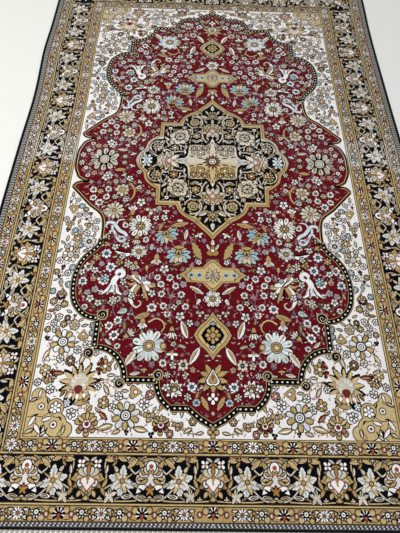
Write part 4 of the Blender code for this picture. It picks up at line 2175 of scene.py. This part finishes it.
def lockStrand(x, end, pitch, strand, reach, sway, bow):
    across = (strand + 0.5) / warpFringe["strands"] * 2 - 1
    root, tip = warpFringe["rootShare"], warpFringe["tipShare"]
    rings = []
    for share in warpFringe["strandShares"]:
        spread = root + (tip - root) * share ** 2
        middle = (x + across * pitch * spread / 2 * warpFringe["bunch"] + sway * share ** 2
                  + bow * math.sin(share * 3.1))
        y = end * (warpFringe["rootOuter"] - 0.001 + reach * share)
        thick = warpFringe["strandRadius"] * (1.0 - warpFringe["strandTaper"] * share)
        lift = (0.5 + 0.5 * math.cos(strand * 2.4)) * warpFringe["lift"] * (1 - share)
        low = warpFringe["overFloor"] + lift
        rings.append([(middle + thick * a, y, low + thick * b)
                      for a, b in ((1, 1), (0, 1.9), (-1, 1), (0, 0.1))])
    return rings


def fringeEnd(end):
    locks = random.Random(warpFringe["seed"])
    own = random.Random(warpFringe["strandSeed"] + end)
    pitch = warpFringe["width"] / warpFringe["locks"]
    points, faces = [], []
    for number in range(warpFringe["locks"]):
        length = warpFringe["lockLength"] - warpFringe["lengthSpread"] * locks.random()
        sway = warpFringe["sway"] * math.sin(number * warpFringe["swayStep"] + end)
        sway *= locks.uniform(0.6, 1.0)
        x = -warpFringe["width"] / 2 + pitch * (number + 0.5)
        tube(rootKnot(x, end, pitch), points, faces)
        for strand in range(warpFringe["strands"]):
            reach = length * own.uniform(*warpFringe["strandReach"])
            bow = own.uniform(-1, 1) * warpFringe["strandBow"]
            tube(lockStrand(x, end, pitch, strand, reach, sway, bow), points, faces)
    moved = np.array(points)
    moved[:, 0] += sideShift(moved[:, 0], moved[:, 1])
    return moved, faces


edges = {                               # node, slot, wool, and how each end or side is made
    "leftOvercast": ("selvedge_left", "selvedge", "overcast", wrapSide, -1),
    "rightOvercast": ("selvedge_right", "selvedge", "overcast", wrapSide, 1),
    "nearEndWeave": ("end_band_near", "end_weave", "endWeave", weaveEnd, -1),
    "nearFringe": ("fringe_near", "fringe", "fringe", fringeEnd, -1),
    "farEndWeave": ("end_band_far", "end_weave", "endWeave", weaveEnd, 1),
    "farFringe": ("fringe_far", "fringe", "fringe", fringeEnd, 1),
}
for name, (node, slot, wool, make, way) in edges.items():
    points, faces = make(way)
    meshPiece(name, points, faces, node, slot, edgeWools[wool])

outerRect = rectangle(rug["halfAcross"], rug["halfAlong"])
borderRect = rectangle(883, 1423)
guardRect = rectangle(749, 1285)
cornerRect = rectangle(678, 1228)
fieldQuarter = np.concatenate(list(fieldOutline.values()))


def fieldHalf(side):                    # from the near tip round one side to the far tip
    path = np.concatenate([fieldQuarter * (1, -1), fieldQuarter[::-1]]) * (side, 1)
    path = path[np.linalg.norm(path - np.roll(path, 1, 0), axis=1) > 0.05]
    return path[::side]


def bandRows(outer, inner, target):     # the four sides of a band, cut into rows near one length
    (wide, high), (innerWide, innerHigh) = outer[2], inner[2]
    rows = []
    for side in (-1, 1):
        low, top = sorted((side * innerWide, side * wide))
        parts = round(2 * high / target)
        cut = np.linspace(-high, high, parts + 1)
        rows += [(low, a, top, b) for a, b in zip(cut, cut[1:])]
        low, top = sorted((side * innerHigh, side * high))
        parts = max(1, round(2 * innerWide / target))
        cut = np.linspace(-innerWide, innerWide, parts + 1)
        rows += [(a, low, b, top) for a, b in zip(cut, cut[1:])]
    return rows


cornerRows = [(-678, -880, -480, 0), (-678, 0, -480, 880), (480, -880, 678, 0), (480, 0, 678, 880),
              (-678, -1228, 678, -880), (-678, 880, 678, 1228)]
cuts = {                                # the cloth, its outer edge, its hole, its rows and their gap
    "fieldLeftPile": ("fieldPile", fieldHalf(-1), None,
                      [(-678, -1216, 0, 0), (-678, 0, 0, 1216)], 4),
    "fieldRightPile": ("fieldPile", fieldHalf(1), None,
                       [(0, -1216, 678, 0), (0, 0, 678, 1216)], 4),
    "cornerPile": ("cornerPile", cornerRect, fieldEdge, cornerRows, 30),
    "innerGuardPile": ("innerGuardPile", guardRect, cornerRect,
                       bandRows(guardRect, cornerRect, 850), 4),
    "mainBorderPile": ("mainBorderPile", borderRect, guardRect,
                       bandRows(borderRect, guardRect, 1450), 4),
    "outerGuardPile": ("outerGuardPile", outerRect, borderRect,
                       bandRows(outerRect, borderRect, 950), 4),
}
for name, (cloth, outer, hole, rows, gutter) in cuts.items():
    outerEdge = stepped(outer, pileMesh["edgeStep"])
    holeEdge = None if hole is None else stepped(hole, pileMesh["edgeStep"])
    piece, area = makePile(name, cloth, outerEdge, holeEdge, rows, gutter)
    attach(piece, "root")
    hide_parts("pile_body")


studio = {
    "floorSize": 14,
    "floorSpot": (0, 2.0, -0.0004),     # just under the rug, so that the two don't flicker
    "floorColour": "#fafaf4",
    "floorRoughness": 0.5,
    "lampSpot": (-2.0, -0.3, 3.6),
    "lampTarget": (-0.3, -0.1, 0.0),
    "lampSize": 3.0,
    "lampPower": 90,
    "lampColour": (1.0, 0.99, 0.95),
    "skyColour": (0.95, 0.97, 1.0, 1),
    "skyStrength": 0.53,
}
bpy.ops.mesh.primitive_plane_add(size=studio["floorSize"], location=studio["floorSpot"])
floor = bpy.context.object
floor.name = "floor"
floorMaterial, _, floorShader = newMaterial("Pale stone floor")    # honed stone: pale and dull
floorShader.inputs["Base Color"].default_value = (*linearFromHex(studio["floorColour"]), 1)
floorShader.inputs["Roughness"].default_value = studio["floorRoughness"]
floor.data.materials.append(floorMaterial)

softboxData = bpy.data.lights.new("softbox left", "AREA")
softboxData.shape = "RECTANGLE"
softboxData.size = softboxData.size_y = studio["lampSize"]
softboxData.energy = studio["lampPower"]
softboxData.color = studio["lampColour"]
softbox = bpy.data.objects.new("softbox left", softboxData)
bpy.context.collection.objects.link(softbox)
softbox.location = studio["lampSpot"]
aim = Vector(studio["lampTarget"]) - Vector(studio["lampSpot"])
softbox.rotation_euler = aim.to_track_quat("-Z", "Y").to_euler()
world = bpy.data.worlds.new("Soft studio")
world.use_nodes = True
sky = world.node_tree.nodes["Background"]
sky.inputs["Color"].default_value = studio["skyColour"]
sky.inputs["Strength"].default_value = studio["skyStrength"]
bpy.context.scene.world = world

camera = {                              # a phone held over the rug's near half, tipped forward
    "spot": (-0.07802, -1.20751, 1.46970),
    "pitch": 0.42512504,
    "yaw": -0.03415589,
    "roll": 0.05113717,
    "focalPixels": 370,
    "framePixels": 533,
    "sensor": 24,
    "clipStart": 0.05,
}
lensData = bpy.data.cameras.new("camera")
lensData.sensor_fit = "VERTICAL"
lensData.sensor_height = camera["sensor"]
lensData.lens = camera["sensor"] * camera["focalPixels"] / camera["framePixels"]
lensData.clip_start = camera["clipStart"]
lens = bpy.data.objects.new("camera", lensData)
bpy.context.collection.objects.link(lens)
lens.matrix_world = (
    Matrix.Translation(camera["spot"])
    @ Matrix.Rotation(camera["yaw"], 4, "Z")
    @ Matrix.Rotation(camera["pitch"], 4, "X")
    @ Matrix.Rotation(camera["roll"], 4, "Z")
)
bpy.context.scene.camera = lens
bpy.context.scene.view_settings.view_transform = "Standard"
print("floor, light and camera set")
